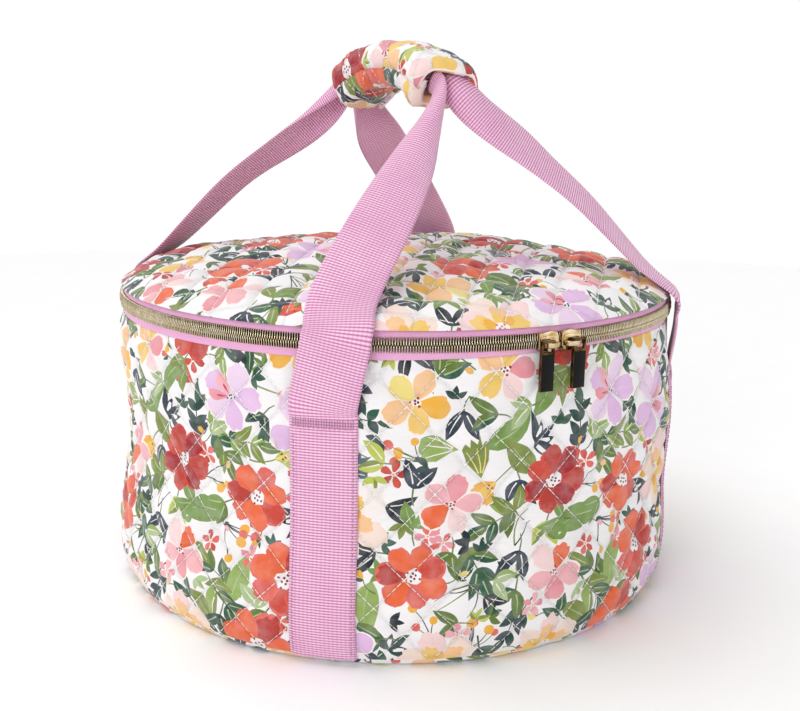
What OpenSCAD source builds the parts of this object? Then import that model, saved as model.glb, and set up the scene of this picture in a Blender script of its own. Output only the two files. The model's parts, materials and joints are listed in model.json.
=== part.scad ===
// Round quilted knitting bag: zipped lid, crossed webbing handles and a padded handle wrap.
// Millimetres, +Z up, origin at the middle of the flat base.
// The zip sliders meet at the front (-Y); the lid's fabric hinge is at the back (+Y).
// Places round the bag are given as angles from the front (-Y) towards +X.

/* [Bag] */
// Outer diameter of the quilted wall
bag_d = 323; // [300:1:350]
// Height of the wall's finished top edge
wall_top_z = 156.7; // [140:0.1:180]
// Thickness of the quilted outer fabric
outer_t = 1.5; // [1:0.1:2]
// Thickness of the wadding
wadding_t = 3.5; // [2.5:0.1:4]
// Thickness of the lining
lining_t = 1; // [0.6:0.1:1.2]
// Thickness of the stiff board in the base
board_t = 3; // [2:0.5:4]
// Height of the strip of base panel that turns up at the foot
foot_h = 4; // [3:0.5:6]

/* [Lid] */
// How far the lid rises from its rim to its middle
lid_rise = 19; // [10:1:30]
// Angle of bag rim taken up by the fabric hinge
hinge_angle = 40; // [30:1:60]

/* [Zip] */
// Height of one row of zip teeth
coil_h = 3.2; // [2.6:0.1:3.6]
// Gap between the two rows, which the slider's post runs in
coil_gap = 1.3; // [1.1:0.1:1.6]
// Thickness of a row of teeth
coil_t = 2.6; // [2:0.1:3]
// Length of a slider along the zip
slider_l = 11.5; // [10:0.5:13]
// Angle at which the two closed sliders meet
meet_angle = -4; // [-6:1:6]

/* [Pulls] */
// Width of a pull tab
pull_w = 7.6; // [6:0.1:9]
// Length of a pull tab below its pin
pull_l = 22.5; // [20:0.5:28]
// Diameter of the pin that a pull hangs on
pin_d = 1.8; // [1.6:0.1:2]
// Radial running clearance of the pull on its pin
pin_clear = 0.08; // [0.02:0.01:0.1]

/* [Handles] */
// Width of the webbing
strap_w = 34; // [30:1:38]
// Thickness of the webbing
strap_t = 2; // [1.5:0.1:2.5]
// Height at which the sewn tails end and the free straps begin
tack_z = 129; // [110:1:135]
// Height of the middle of the handle wrap
wrap_z = 296.5; // [280:0.5:310]
// Radius of the arch that the wrap is bent to
arch_r = 105; // [95:1:140]
// Half of the angle that the arch covers
arch_half = 26; // [20:1:28]
// Width of the closed wrap
wrap_w = 30; // [28:1:36]
// Thickness of the closed wrap
wrap_h = 25; // [24:1:30]

/* [Hidden] */
$fn = 96;

bag_r = bag_d / 2;
wadding_r = bag_r - outer_t;
lining_r = wadding_r - wadding_t;
inside_r = lining_r - lining_t;
base_t = 2;
board_top = base_t + board_t;

// The zip: one row of teeth above the other, tapes behind them
teeth_r = wadding_r - 0.2;
tape_t = 1.2;
lower_teeth_z = wall_top_z + 3.9;
gap_z = lower_teeth_z + coil_h;
upper_teeth_z = gap_z + coil_gap;
upper_teeth_top = upper_teeth_z + coil_h;
tape_seam = 7;
tape_gap = 0.55;
lid_z = upper_teeth_top + 1.9;
hinge_gap = 1;
lid_step = 8;
layer_gap = 0.05;
zip_half = 180 - hinge_angle / 2;
stop_angle = 1.2;

// Sliders and pulls
plate_in_r = teeth_r + coil_t + 0.3;
plate_t = 1.5;
plate_r = plate_in_r + plate_t;
back_plate_t = 1.2;
back_plate_r = teeth_r - tape_t - 0.4;
slider_low = lower_teeth_z - 1.2;
slider_high = upper_teeth_top + 1.2;
slider_off = asin((slider_l / 2 + 0.75) / bag_r);
pin_shift = 2.7;
pin_r = pin_d / 2;
pin_at_r = plate_r + 2.8;
pin_z = gap_z - 0.6;
eye_r = 2;
eye_l = 4;
lug_r = 1.9;
lug_t = 1;
lug_gap = 0.3;
pull_t = 2;
inlay_side = 1.1;
inlay_top = 5.5;

// Webbing and the wrap
tail_angle = 2 * asin(strap_w / 2 / bag_r);
leg_gap = 1.2;
fold_w = 11.4;
fold_t = 6;
grip_gap = 0.6;
pad_gap = 0.4;
pad_side = 2.7;
strip_t = 0.9;
leg_steps = 5;

// Middle line of one free strap, from its tack to the mouth of the wrap.
// The first points are [radius, lean, height] on the wall, the others [x, y, z] of the +X +Y strap.
wall_run = [
  [163.4, 0, tack_z + leg_gap], [163.6, 0.05, 134.5], [165, 1.1, 149], [165.4, 2, 161], [164.4, 2.6, 171.6]
];
free_run = [
  [98, 107, 187], [66, 92, 222], [40, 77, 247], [22, 66, 265], [11, 57, 277], [6.6, 50, 283.6], [6, 44, 286.8]
];

// ---- helpers ----

// A ring from z0 to z1 between two radii, over an angle centred on a place round the bag
module ring(r0, r1, z0, z1, at = 0, span = 360)
  rotate([0, 0, at - span / 2 - 90])
    translate([0, 0, z0])
      rotate_extrude(angle = span) translate([r0, 0]) square([r1 - r0, z1 - z0]);

// Puts a piece drawn at the front of the bag (-Y) at another place round it
module round_to(at) rotate([0, 0, at]) children();

// Height of the lid's top surface at a radius
function lid_curve(r) = lid_z + outer_t + lid_rise * (1 - pow(r / bag_r, 2));

// The same height on straight facets lid_step long, which every layer shares
function lid_top(r) = let(a = floor(r / lid_step) * lid_step, k = (r - a) / lid_step)
  (1 - k) * lid_curve(a) + k * lid_curve(a + lid_step);

// A domed layer of the lid, between two depths below its top surface
module lid_layer(r, depth0, depth1) {
  radii = [for (q = [0:lid_step:r - 1]) q, r];
  rotate_extrude()
    polygon(concat(
      [for (q = radii) [q, lid_top(q) - depth0]],
      [for (i = [len(radii) - 1:-1:0]) [radii[i], lid_top(radii[i]) - depth1]]
    ));
}

// Catmull-Rom curve through a list of points
function between(a, b, c, d, t) =
  0.5 * (2 * b + (c - a) * t + (2 * a - 5 * b + 4 * c - d) * t * t + (3 * b - a - 3 * c + d) * t * t * t);
function curve(p) = let(n = len(p), q = concat([2 * p[0] - p[1]], p, [2 * p[n - 1] - p[n - 2]]))
  concat(
    [for (i = [0:n - 2]) for (k = [0:leg_steps - 1]) between(q[i], q[i + 1], q[i + 2], q[i + 3], k / leg_steps)],
    [p[n - 1]]
  );
function unit(v) = v / norm(v);
function square_to(v, d) = unit(v - (v * d) * d);
function smooth(t) = let(s = min(1, max(0, t))) s * s * (3 - 2 * s);

// A flat strap swept along the free run for the side [sx, sy], folding as it nears the wrap
module free_strap(sx, sy) {
  run = concat(
    [for (w = wall_run) [w[0] * sin(45 - w[1]), w[0] * cos(45 - w[1]), w[2]]],
    free_run
  );
  line = curve([for (p = run) [sx * p[0], sy * p[1], p[2]]]);
  last = len(line) - 1;
  on_wall = unit([1, -sx * sy, 0]);
  rings = [for (i = [0:last])
    let(
      along = unit(line[min(i + 1, last)] - line[max(i - 1, 0)]),
      turn = smooth((i / last - 0.45) / 0.55),
      fold = smooth((i / last - 0.54) / 0.38),
      across = square_to(on_wall * (1 - turn) + [1, 0, 0] * turn, along),
      out = cross(across, along),
      w = across * (strap_w + (fold_w - strap_w) * fold) / 2,
      t = out * (strap_t + (fold_t - strap_t) * fold) / 2
    ) [line[i] - w - t, line[i] + w - t, line[i] + w + t, line[i] - w + t]
  ];
  points = [for (r = rings) for (p = r) p];
  sides = [for (i = [0:last - 1]) for (k = [0:3])
    let(a = 4 * i + k, b = 4 * i + (k + 1) % 4) each [[a, b, b + 4], [a, b + 4, a + 4]]];
  ends = [[2, 1, 0], [3, 2, 0], [4 * last, 4 * last + 1, 4 * last + 2], [4 * last, 4 * last + 2, 4 * last + 3]];
  polyhedron(points, concat(sides, ends));
}

// Sweeps a section of the wrap along its arch: u runs across (+X), w runs up from the arch's line
module arch(half = arch_half)
  translate([0, 0, wrap_z - arch_r])
    rotate([0, -90, 0])
      rotate([0, 0, -half])
        rotate_extrude(angle = 2 * half) children();
module section(u0, u1, w0, w1)
  translate([arch_r + w0, -u1]) square([w1 - w0, u1 - u0]);
module wrap_outline(round_r = 6)
  translate([arch_r, 0]) {
    square([wrap_h, wrap_w - 2 * round_r], center = true);
    square([wrap_h - 2 * round_r, wrap_w], center = true);
    for (a = [-1, 1]) for (b = [-1, 1])
      translate([a * (wrap_h / 2 - round_r), b * (wrap_w / 2 - round_r)]) circle(round_r, $fn = 32);
  }

// ---- bag body ----

module base_panel()
  color("lavenderblush") rotate_extrude()
    polygon([
      [0, 0], [bag_r - 4.5, 0], [bag_r - 1.2, 1.2], [bag_r, foot_h],
      [wadding_r, foot_h], [wadding_r, base_t], [0, base_t]
    ]);

module base_board() color("dimgray") ring(0, inside_r - 0.1, base_t, board_top);

module base_lining() color("mistyrose") ring(0, inside_r - 0.1, board_top, board_top + lining_t);

module wall_outer() color("lavenderblush") ring(wadding_r, bag_r, foot_h, wall_top_z);

module wall_wadding() color("white") ring(lining_r, wadding_r, base_t, wall_top_z - tape_seam);

module wall_lining() color("mistyrose") ring(inside_r, lining_r, base_t, wall_top_z);

module rim_binding()
  color("pink") ring(lining_r, teeth_r - tape_t, wall_top_z - tape_seam, wall_top_z - 0.7);

module zip_tape_lower()
  color("pink")
    ring(teeth_r - tape_t, teeth_r, wall_top_z - tape_seam, gap_z - tape_gap, span = 2 * zip_half);

module zip_teeth_lower()
  color("darkgoldenrod") ring(teeth_r, teeth_r + coil_t, lower_teeth_z, gap_z, span = 2 * zip_half);

module zip_end_stops()
  color("goldenrod") for (s = [-1, 1])
    ring(teeth_r, teeth_r + coil_t, lower_teeth_z - 0.3, gap_z, s * (zip_half + stop_angle), stop_angle);

module hinge_panel_lower()
  color("lavenderblush")
    ring(wadding_r, bag_r, wall_top_z, gap_z + coil_gap / 2 - hinge_gap / 2, 180, hinge_angle - 4 * stop_angle);

module strap_tail(at) color("hotpink") ring(bag_r, bag_r + strap_t, foot_h, tack_z, at, tail_angle);

module strap_tail_front_left() strap_tail(-45);
module strap_tail_front_right() strap_tail(45);
module strap_tail_back_left() strap_tail(-135);
module strap_tail_back_right() strap_tail(135);

// Box of stitching that ends each tail, standing a thread's height above the webbing
module strap_tack_stitches()
  color("deeppink") for (at = [-135, -45, 45, 135])
    ring(bag_r + strap_t, bag_r + strap_t + 0.4, tack_z - 5, tack_z - 0.8, at, tail_angle * 0.92);

// ---- lid ----

module lid_outer() color("lavenderblush") lid_layer(bag_r - 0.6, 0, outer_t);

module lid_wadding()
  color("white") lid_layer(lining_r + 0.3, outer_t + layer_gap, outer_t + wadding_t);

module lid_lining()
  color("mistyrose") lid_layer(lining_r, outer_t + wadding_t, outer_t + wadding_t + lining_t);

// Bound seam inside the lid, clear of the sliders' back plates
module lid_binding()
  color("pink") ring(lining_r + 0.4, teeth_r - tape_t, slider_high - 0.7, lid_z + 0.3);

module zip_tape_upper()
  color("pink") ring(teeth_r - tape_t, teeth_r, upper_teeth_z + tape_gap / 2, lid_z, span = 2 * zip_half);

module zip_teeth_upper()
  color("darkgoldenrod")
    ring(teeth_r, teeth_r + coil_t, upper_teeth_z, upper_teeth_top, span = 2 * zip_half);

module hinge_panel_upper()
  color("lavenderblush")
    ring(wadding_r, bag_r, gap_z + coil_gap / 2 + hinge_gap / 2, lid_z, 180, hinge_angle - 4 * stop_angle);

// ---- sliders: s is -1 for the left one and 1 for the right one ----

function slider_at(s) = meet_angle + s * slider_off;

// Front plate with its lower flange, back plate, and the post between the two rows of teeth
module slider_body(s)
  color("gold") round_to(slider_at(s)) {
    translate([-slider_l / 2, -plate_r, slider_low]) cube([slider_l, plate_t, slider_high - slider_low]);
    translate([-slider_l / 2, -plate_in_r, slider_low])
      cube([slider_l, plate_in_r - teeth_r - 0.4, lower_teeth_z - 0.3 - slider_low]);
    translate([-slider_l / 2, -back_plate_r, lower_teeth_z])
      cube([slider_l, back_plate_t, upper_teeth_top - lower_teeth_z - 0.4]);
    translate([-s * slider_l / 2 + s * 1.5 - 1.2, -plate_in_r, gap_z + 0.25])
      cube([2.4, plate_in_r - back_plate_r, coil_gap - 0.5]);
  }

// Two lugs and the pin that the pull hangs on
module slider_crown(s)
  color("gold") round_to(slider_at(s)) translate([s * pin_shift, -pin_at_r, pin_z]) {
    for (side = [-1, 1])
      translate([side * (eye_l / 2 + lug_gap + lug_t / 2), 0, 0]) rotate([0, 90, 0]) {
        cylinder(r = lug_r, h = lug_t, center = true);
        translate([-lug_r, 0, -lug_t / 2]) cube([2 * lug_r, pin_at_r - plate_r, lug_t]);
      }
    rotate([0, 90, 0]) cylinder(r = pin_r, h = eye_l + 2 * lug_gap + lug_t, center = true);
  }

module slider_left_body() slider_body(-1);
module slider_left_crown() slider_crown(-1);
module slider_right_body() slider_body(1);
module slider_right_crown() slider_crown(1);

// ---- pulls ----

module at_pull(s) round_to(slider_at(s)) translate([s * pin_shift, -pin_at_r, pin_z]) children();

// Eye, neck and tab, with a window for the inlay
module pull_frame(s)
  color("goldenrod") at_pull(s) difference() {
    union() {
      rotate([0, 90, 0]) cylinder(r = eye_r, h = eye_l, center = true);
      translate([-eye_l / 2, -pull_t / 2, -3.4]) cube([eye_l, pull_t, 3.4]);
      translate([-pull_w / 2, -pull_t / 2, -pull_l]) cube([pull_w, pull_t, pull_l - 2.4]);
    }
    rotate([0, 90, 0]) cylinder(r = pin_r + pin_clear, h = eye_l + 1, center = true);
    translate([-pull_w / 2 + inlay_side, -pull_t, -pull_l + inlay_side])
      cube([pull_w - 2 * inlay_side, 2 * pull_t, pull_l - inlay_top - inlay_side]);
  }

module pull_inlay(s)
  color("black") at_pull(s)
    translate([-pull_w / 2 + inlay_side, -pull_t / 2 + 0.2, -pull_l + inlay_side])
      cube([pull_w - 2 * inlay_side, pull_t - 0.4, pull_l - inlay_top - inlay_side]);

module pull_left_frame() pull_frame(-1);
module pull_left_inlay() pull_inlay(-1);
module pull_right_frame() pull_frame(1);
module pull_right_inlay() pull_inlay(1);

// ---- handles and wrap ----

module strap_front_left() color("hotpink") free_strap(-1, -1);
module strap_back_left() color("hotpink") free_strap(-1, 1);
module strap_front_right() color("hotpink") free_strap(1, -1);
module strap_back_right() color("hotpink") free_strap(1, 1);

// Webbing folded in three inside the wrap, side by side; the left grip is sewn down to the pad
module grip_left()
  color("hotpink") arch(arch_half - 2)
    section(-grip_gap / 2 - fold_w, -grip_gap / 2, -fold_t / 2 - pad_gap, fold_t / 2 - pad_gap);

module grip_right()
  color("hotpink") arch(arch_half - 2)
    section(grip_gap / 2, grip_gap / 2 + fold_w, -fold_t / 2, fold_t / 2);

// Quilted pad sewn under the left grip, with a low wall up its left side
module wrap_pad()
  color("lavenderblush") arch() intersection() {
    wrap_outline();
    union() {
      section(-wrap_w / 2, wrap_w / 2 - pad_side - 2 * strip_t, -wrap_h / 2, -fold_t / 2 - pad_gap);
      section(-wrap_w / 2, -wrap_w / 2 + pad_side, -wrap_h / 4, fold_t / 2);
    }
  }

module wrap_hook_strip()
  color("white") arch(arch_half - 3)
    section(wrap_w / 2 - pad_side - 2 * strip_t, wrap_w / 2 - pad_side - strip_t - 0.3, -9.5, -5.2);

// The half of the wrap that folds over the top and down the right side
module wrap_flap()
  color("lavenderblush") arch() intersection() {
    wrap_outline();
    union() {
      section(-wrap_w / 2, wrap_w / 2, fold_t / 2 + pad_gap, wrap_h / 2);
      section(wrap_w / 2 - pad_side, wrap_w / 2, -wrap_h / 2, wrap_h / 4);
    }
  }

module wrap_loop_strip()
  color("white") arch(arch_half - 3) section(wrap_w / 2 - pad_side - strip_t, wrap_w / 2 - pad_side, -9.5, -5.2);

base_panel();
base_board();
base_lining();
wall_outer();
wall_wadding();
wall_lining();
rim_binding();
zip_tape_lower();
zip_teeth_lower();
zip_end_stops();
hinge_panel_lower();
strap_tail_front_left();
strap_tail_front_right();
strap_tail_back_left();
strap_tail_back_right();
strap_tack_stitches();
lid_outer();
lid_wadding();
lid_lining();
lid_binding();
zip_tape_upper();
zip_teeth_upper();
hinge_panel_upper();
slider_left_body();
slider_left_crown();
slider_right_body();
slider_right_crown();
pull_left_frame();
pull_left_inlay();
pull_right_frame();
pull_right_inlay();
strap_front_left();
strap_back_left();
grip_left();
wrap_pad();
wrap_hook_strip();
strap_front_right();
strap_back_right();
grip_right();
wrap_flap();
wrap_loop_strip();
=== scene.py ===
"""A round quilted knitting bag: the visual model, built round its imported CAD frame.

Lengths in this script are millimetres unless a name says otherwise; make_piece turns them to metres.
Angles round the bag run from the front (-Y) towards +X, as in the CAD model.
"""
import json
import math
import random

import bpy
from mathutils import Matrix, Vector, noise
from mathutils.geometry import delaunay_2d_cdt


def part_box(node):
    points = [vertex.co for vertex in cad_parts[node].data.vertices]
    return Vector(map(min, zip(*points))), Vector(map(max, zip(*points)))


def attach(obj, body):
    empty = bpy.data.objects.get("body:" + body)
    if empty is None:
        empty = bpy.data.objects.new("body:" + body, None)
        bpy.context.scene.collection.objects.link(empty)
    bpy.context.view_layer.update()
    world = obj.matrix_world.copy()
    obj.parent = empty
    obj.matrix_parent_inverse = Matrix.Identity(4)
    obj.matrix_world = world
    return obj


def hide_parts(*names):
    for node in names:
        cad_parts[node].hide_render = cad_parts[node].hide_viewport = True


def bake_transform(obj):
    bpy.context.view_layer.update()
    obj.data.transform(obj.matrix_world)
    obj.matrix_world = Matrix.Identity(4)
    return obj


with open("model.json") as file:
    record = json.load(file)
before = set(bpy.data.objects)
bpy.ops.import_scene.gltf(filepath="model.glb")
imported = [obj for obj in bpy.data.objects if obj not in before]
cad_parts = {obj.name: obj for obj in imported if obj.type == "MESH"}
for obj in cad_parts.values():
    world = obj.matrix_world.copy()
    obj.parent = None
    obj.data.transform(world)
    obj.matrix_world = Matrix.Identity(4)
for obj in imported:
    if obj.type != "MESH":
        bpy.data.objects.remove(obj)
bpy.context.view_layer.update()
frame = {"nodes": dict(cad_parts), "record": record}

MM = 0.001


def low(node):
    return Vector(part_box(node)[0]) / MM


def high(node):
    return Vector(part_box(node)[1]) / MM


# ---------------------------------------------------------------- driving sizes, from the frame

BAG_R = high("wall_outer").x
FOOT_Z = low("wall_outer").z
WALL_TOP = high("wall_outer").z
INSIDE_R = high("base_lining").x
FLOOR_IN = high("base_lining").z
TEETH_R = high("zip_tape_upper").x
TEETH_LOW = low("zip_teeth_lower").z
TEETH_MID_LOW = high("zip_teeth_lower").z
TEETH_MID_HIGH = low("zip_teeth_upper").z
TEETH_HIGH = high("zip_teeth_upper").z
CHAIN_Z = (TEETH_LOW + TEETH_HIGH) / 2
LID_Z = low("lid_outer").z
LID_TOP = high("lid_outer").z
LID_R = high("lid_outer").x
TACK_Z = high("strap_tail_front_left").z

# the printed cloth and the webbing start a little inside the wall's outer face, and puff out past it
CLOTH_R = BAG_R - 0.9
STRAP_R = BAG_R - 0.6

# half of what each piece covers round the bag, in degrees
HINGE_HALF = 18
ZIP_HALF = 160
TAPE_HALF = 162.6

# the print repeats round the wall, with a whole number of quilting diamonds in each repeat
TILES = 5
TURN = 2 * math.pi * BAG_R
TILE_W = TURN / TILES
QUILT = TILE_W / 7
STRAP_W = 34
STRAP_T = 1.7

# ---------------------------------------------------------------- small helpers


def smooth(t):
    t = min(1.0, max(0.0, t))
    return t * t * (3 - 2 * t)


def lerp(a, b, t):
    return a + (b - a) * t


def bell(x, middle, spread):
    """A bell curve that is 1 at its middle."""
    return math.exp(-(((x - middle) / spread) ** 2))


def uneven(x, y, z):
    """Smooth noise from about -1 to 1."""
    return noise.noise(Vector((x, y, z)))


def around(angle, radius, z):
    """A point at an angle in degrees round the bag."""
    a = math.radians(angle)
    return Vector((radius * math.sin(a), -radius * math.cos(a), z))


def linear(hex_colour):
    """Scene-linear colour of a hexadecimal sRGB colour."""
    out = []
    for i in (0, 2, 4):
        c = int(hex_colour[i:i + 2], 16) / 255
        out.append(c / 12.92 if c <= 0.04045 else ((c + 0.055) / 1.055) ** 2.4)
    return (*out, 1.0)


def shares(length, count):
    """Evenly spaced places from 0 to a length."""
    return [length * i / count for i in range(count + 1)]


def add_object(name, data):
    made = bpy.data.objects.new(name, data)
    bpy.context.scene.collection.objects.link(made)
    return made


def make_piece(name, verts, faces, material, body, replaces=(), cloth=None, colours=None):
    """A mesh in millimetres becomes a piece in metres that rides on a body, or on none.

    cloth holds each point's place on the flat cloth, and colours each face's printed colour.
    """
    mesh = bpy.data.meshes.new(name)
    mesh.from_pydata([Vector(v) * MM for v in verts], [], faces)
    if cloth:
        layer = mesh.attributes.new("cloth", "FLOAT_VECTOR", "POINT")
        layer.data.foreach_set("vector", [c for p in cloth for c in (p[0], p[1], 0.0)])
    if colours:
        layer = mesh.attributes.new("print", "FLOAT_COLOR", "CORNER")
        layer.data.foreach_set("color", [c for f, col in zip(faces, colours) for _ in f for c in col])
    mesh.polygons.foreach_set("use_smooth", [True] * len(mesh.polygons))
    mesh.materials.append(material)
    mesh.validate()
    piece = add_object(name, mesh)
    if body:
        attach(piece, body)
    if replaces:
        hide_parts(*replaces)
    return piece


def bevelled(piece, width, segments=2):
    """Rounds the sharp edges of a hard piece and applies the result."""
    mod = piece.modifiers.new("round", "BEVEL")
    mod.width = width * MM
    mod.segments = segments
    mod.limit_method = "ANGLE"
    bpy.context.view_layer.update()
    result = bpy.data.meshes.new_from_object(piece.evaluated_get(bpy.context.evaluated_depsgraph_get()))
    piece.modifiers.clear()
    piece.data = result


def ring_faces(rings, columns, flip=False):
    """Quads between closed rings of points; flip turns them over."""
    faces = []
    for i in range(rings - 1):
        for k in range(columns):
            a, b = i * columns + k, i * columns + (k + 1) % columns
            quad = (a, b, b + columns, a + columns)
            faces.append(quad[::-1] if flip else quad)
    return faces


def thickened(path, half):
    """The closed outline of a flat path of (x, y) points given a half thickness on each side."""
    left, right = [], []
    for i, (x, y) in enumerate(path):
        a, b = Vector(path[max(i - 1, 0)]), Vector(path[min(i + 1, len(path) - 1)])
        d = (b - a).normalized()
        w = half(i)
        left.append((x - d.y * w, y + d.x * w))
        right.append((x + d.y * w, y - d.x * w))
    return right + left[::-1]


# ---------------------------------------------------------------- materials


class Mat:
    """A node material with one Principled shader, and short ways to add nodes to it."""

    def __init__(self, name, **sockets):
        self.mat = bpy.data.materials.new(name)
        self.mat.use_nodes = True
        self.tree = self.mat.node_tree
        self.shader = self.tree.nodes["Principled BSDF"]
        for key, value in sockets.items():
            self.shader.inputs[key.replace("_", " ")].default_value = value

    def node(self, kind, **settings):
        made = self.tree.nodes.new("ShaderNode" + kind)
        for key, value in settings.items():
            setattr(made, key, value)
        return made

    def feed(self, socket, value):
        if isinstance(value, bpy.types.NodeSocket):
            self.tree.links.new(value, socket)
        else:
            socket.default_value = value

    def maths(self, operation, a, b=0.0, c=0.0):
        made = self.node("Math", operation=operation)
        for socket, value in zip(made.inputs, (a, b, c)):
            self.feed(socket, value)
        return made.outputs[0]

    def place(self):
        """The point's place in the piece, in metres."""
        return self.node("TexCoord").outputs["Object"]

    def attribute(self, name, output="Vector"):
        return self.node("Attribute", attribute_name=name).outputs[output]

    def split(self, vector):
        made = self.node("SeparateXYZ")
        self.feed(made.inputs[0], vector)
        return made.outputs[0], made.outputs[1], made.outputs[2]

    def scaled(self, vector, x, y, z=1.0):
        made = self.node("Mapping")
        self.feed(made.inputs["Vector"], vector)
        made.inputs["Scale"].default_value = (x, y, z)
        return made.outputs[0]

    def noise(self, vector, scale, detail=3.0):
        made = self.node("TexNoise")
        self.feed(made.inputs["Vector"], vector)
        made.inputs["Scale"].default_value = scale
        made.inputs["Detail"].default_value = detail
        return made.outputs["Fac"]

    def wave(self, value, period):
        """Sine of a length in millimetres, from 0 to 1."""
        s = self.maths("SINE", self.maths("MULTIPLY", value, 2 * math.pi / period))
        return self.maths("MULTIPLY_ADD", s, 0.5, 0.5)

    def mix(self, factor, a, b, blend="MIX"):
        made = self.node("Mix", data_type="RGBA", blend_type=blend)
        for socket, value in ((made.inputs[0], factor), (made.inputs[6], a), (made.inputs[7], b)):
            self.feed(socket, value)
        return made.outputs[2]

    def span(self, value, low_out, high_out, low_in=0.0, high_in=1.0):
        made = self.node("MapRange")
        for socket, v in zip(made.inputs, (value, low_in, high_in, low_out, high_out)):
            self.feed(socket, v)
        return made.outputs[0]

    def grey(self, value):
        made = self.node("CombineColor")
        for socket in made.inputs[:3]:
            self.feed(socket, value)
        return made.outputs[0]

    def bump(self, height, distance, strength=1.0, normal=None):
        made = self.node("Bump")
        made.inputs["Strength"].default_value = strength
        made.inputs["Distance"].default_value = distance * MM
        self.feed(made.inputs["Height"], height)
        if normal:
            self.feed(made.inputs["Normal"], normal)
        return made.outputs[0]

    def done(self, colour=None, roughness=None, normal=None):
        for key, value in (("Base Color", colour), ("Roughness", roughness), ("Normal", normal)):
            if value is not None:
                self.feed(self.shader.inputs[key], value)
        return self.mat


INK = {
    name: linear(code)
    for name, code in dict(
        white="FAF7F8", cream="FDF3EE", red="BE3A30", brick="D14A3A", orange="EE6A3C", coral="E4685E",
        crimson="A8202C", rose="EE9AA4", pink="F6B6BC", blush="FBDAD9", peach="FBE4D8", apricot="FAC893",
        yellow="F7CC6A", gold="F2B440", lemon="F2DE83", lilac="E7BFE8", mauve="F1D6F0", magenta="C8446A",
        olive="80903F", moss="647C3A", green="78984A", fern="95B05C", lime="BFCB55", sage="AFC490",
        bottle="2F5A45", pine="23463C", navy="2B3A49", ink="1E2A33", slate="4D6472", dot="8E1F26",
    ).items()
}


def printed_cotton():
    """The print on a fine weave, with painted shade darkening it along the quilting lines' valleys, and the
    ground showing through.
    """
    m = Mat("printed_cotton", Roughness=0.82, Sheen_Weight=0.25, Sheen_Roughness=0.5, Specular_IOR_Level=0.3)
    cloth = m.attribute("cloth")
    u, v, _ = m.split(cloth)
    weave = m.maths("MULTIPLY", m.wave(u, 0.62), m.wave(v, 0.62))
    puckers = m.noise(m.scaled(cloth, 0.05, 0.26), 1.0, 4.0)
    stain = m.noise(m.scaled(cloth, 0.03, 0.05), 1.0, 2.0)
    shade = m.maths("MULTIPLY", m.span(stain, 0.88, 0.94, 0.3, 0.7), m.span(weave, 0.965, 1.0))
    # painted shade: the colour darkens where the padding dips along both families of quilting lines
    lines = [
        m.maths("ABSOLUTE", m.maths("SINE", m.maths("MULTIPLY", m.maths(way, u, v), math.pi / QUILT)))
        for way in ("ADD", "SUBTRACT")
    ]
    valley_shade = m.maths("POWER", m.maths("MULTIPLY", *lines), 0.5)
    shade = m.maths("MULTIPLY", shade, m.span(valley_shade, 0.84, 1.0, 0.05, 0.45))
    wash = m.span(m.noise(m.scaled(cloth, 0.13, 0.13), 1.0, 4.0), 0.0, 0.14, 0.42, 0.72)
    dye = m.mix(wash, m.attribute("print", "Color"), INK["white"])
    colour = m.mix(1.0, dye, m.grey(shade), "MULTIPLY")
    normal = m.bump(weave, 0.05, 0.6, m.bump(puckers, 1.3, 0.8))
    return m.done(colour, m.span(stain, 0.74, 0.9), normal)


def webbing():
    """Ribs across the strap, crossed by the columns between the lengthwise yarns."""
    m = Mat("pink_webbing", Sheen_Weight=0.3, Sheen_Roughness=0.4, Specular_IOR_Level=0.4)
    cloth = m.attribute("cloth")
    u, v, _ = m.split(cloth)
    rib = m.maths("POWER", m.wave(v, 1.45), 0.6)
    column = m.maths("MULTIPLY_ADD", m.maths("POWER", m.wave(u, 2.13), 0.6), 0.36, 0.64)
    floats = m.maths("MULTIPLY", rib, column)
    soft = m.noise(m.scaled(cloth, 0.04, 0.04), 1.0, 2.0)
    light = m.mix(m.span(soft, 0.0, 1.0, 0.3, 0.7), linear("F6D2E8"), linear("EDC2DE"))
    colour = m.mix(m.span(floats, 0.0, 1.0, 0.1, 0.85), linear("C0689B"), light)
    normal = m.bump(floats, 0.4, 0.6)
    return m.done(colour, m.span(floats, 0.85, 0.6), normal)


def woven_tape(name, light, dark, period):
    m = Mat(name, Sheen_Weight=0.2, Specular_IOR_Level=0.35)
    cloth = m.attribute("cloth")
    u, v, _ = m.split(cloth)
    twill = m.wave(m.maths("ADD", u, v), period)
    cross = m.wave(m.maths("SUBTRACT", u, m.maths("MULTIPLY", v, 2.0)), period * 1.3)
    threads = m.maths("MULTIPLY_ADD", cross, 0.4, m.maths("MULTIPLY", twill, 0.6))
    soft = m.noise(m.scaled(cloth, 0.05, 0.05), 1.0, 2.0)
    shade = m.span(soft, 0.95, 1.03, 0.3, 0.7)
    colour = m.mix(1.0, m.mix(threads, linear(dark), linear(light)), m.grey(shade), "MULTIPLY")
    return m.done(colour, m.span(threads, 0.85, 0.65), m.bump(threads, 0.12, 0.8))


def grainy(name, dark, light, grain, rough, depth, strength=1.0, stretch=None, **sockets):
    """A plain material whose grain, given as noise scale and detail, moves its colour, gloss and surface."""
    m = Mat(name, **sockets)
    where = m.scaled(m.place(), *stretch) if stretch else m.place()
    fleck = m.noise(where, *grain)
    colour = m.mix(fleck, linear(dark), linear(light))
    return m.done(colour, m.span(fleck, *rough), m.bump(fleck, depth, strength))


def thread(name, dark, light):
    return grainy(
        name, dark, light, (2600.0, 2.0), (0.45, 0.7), 0.06, 0.5, Sheen_Weight=0.3, Specular_IOR_Level=0.4
    )


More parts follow.
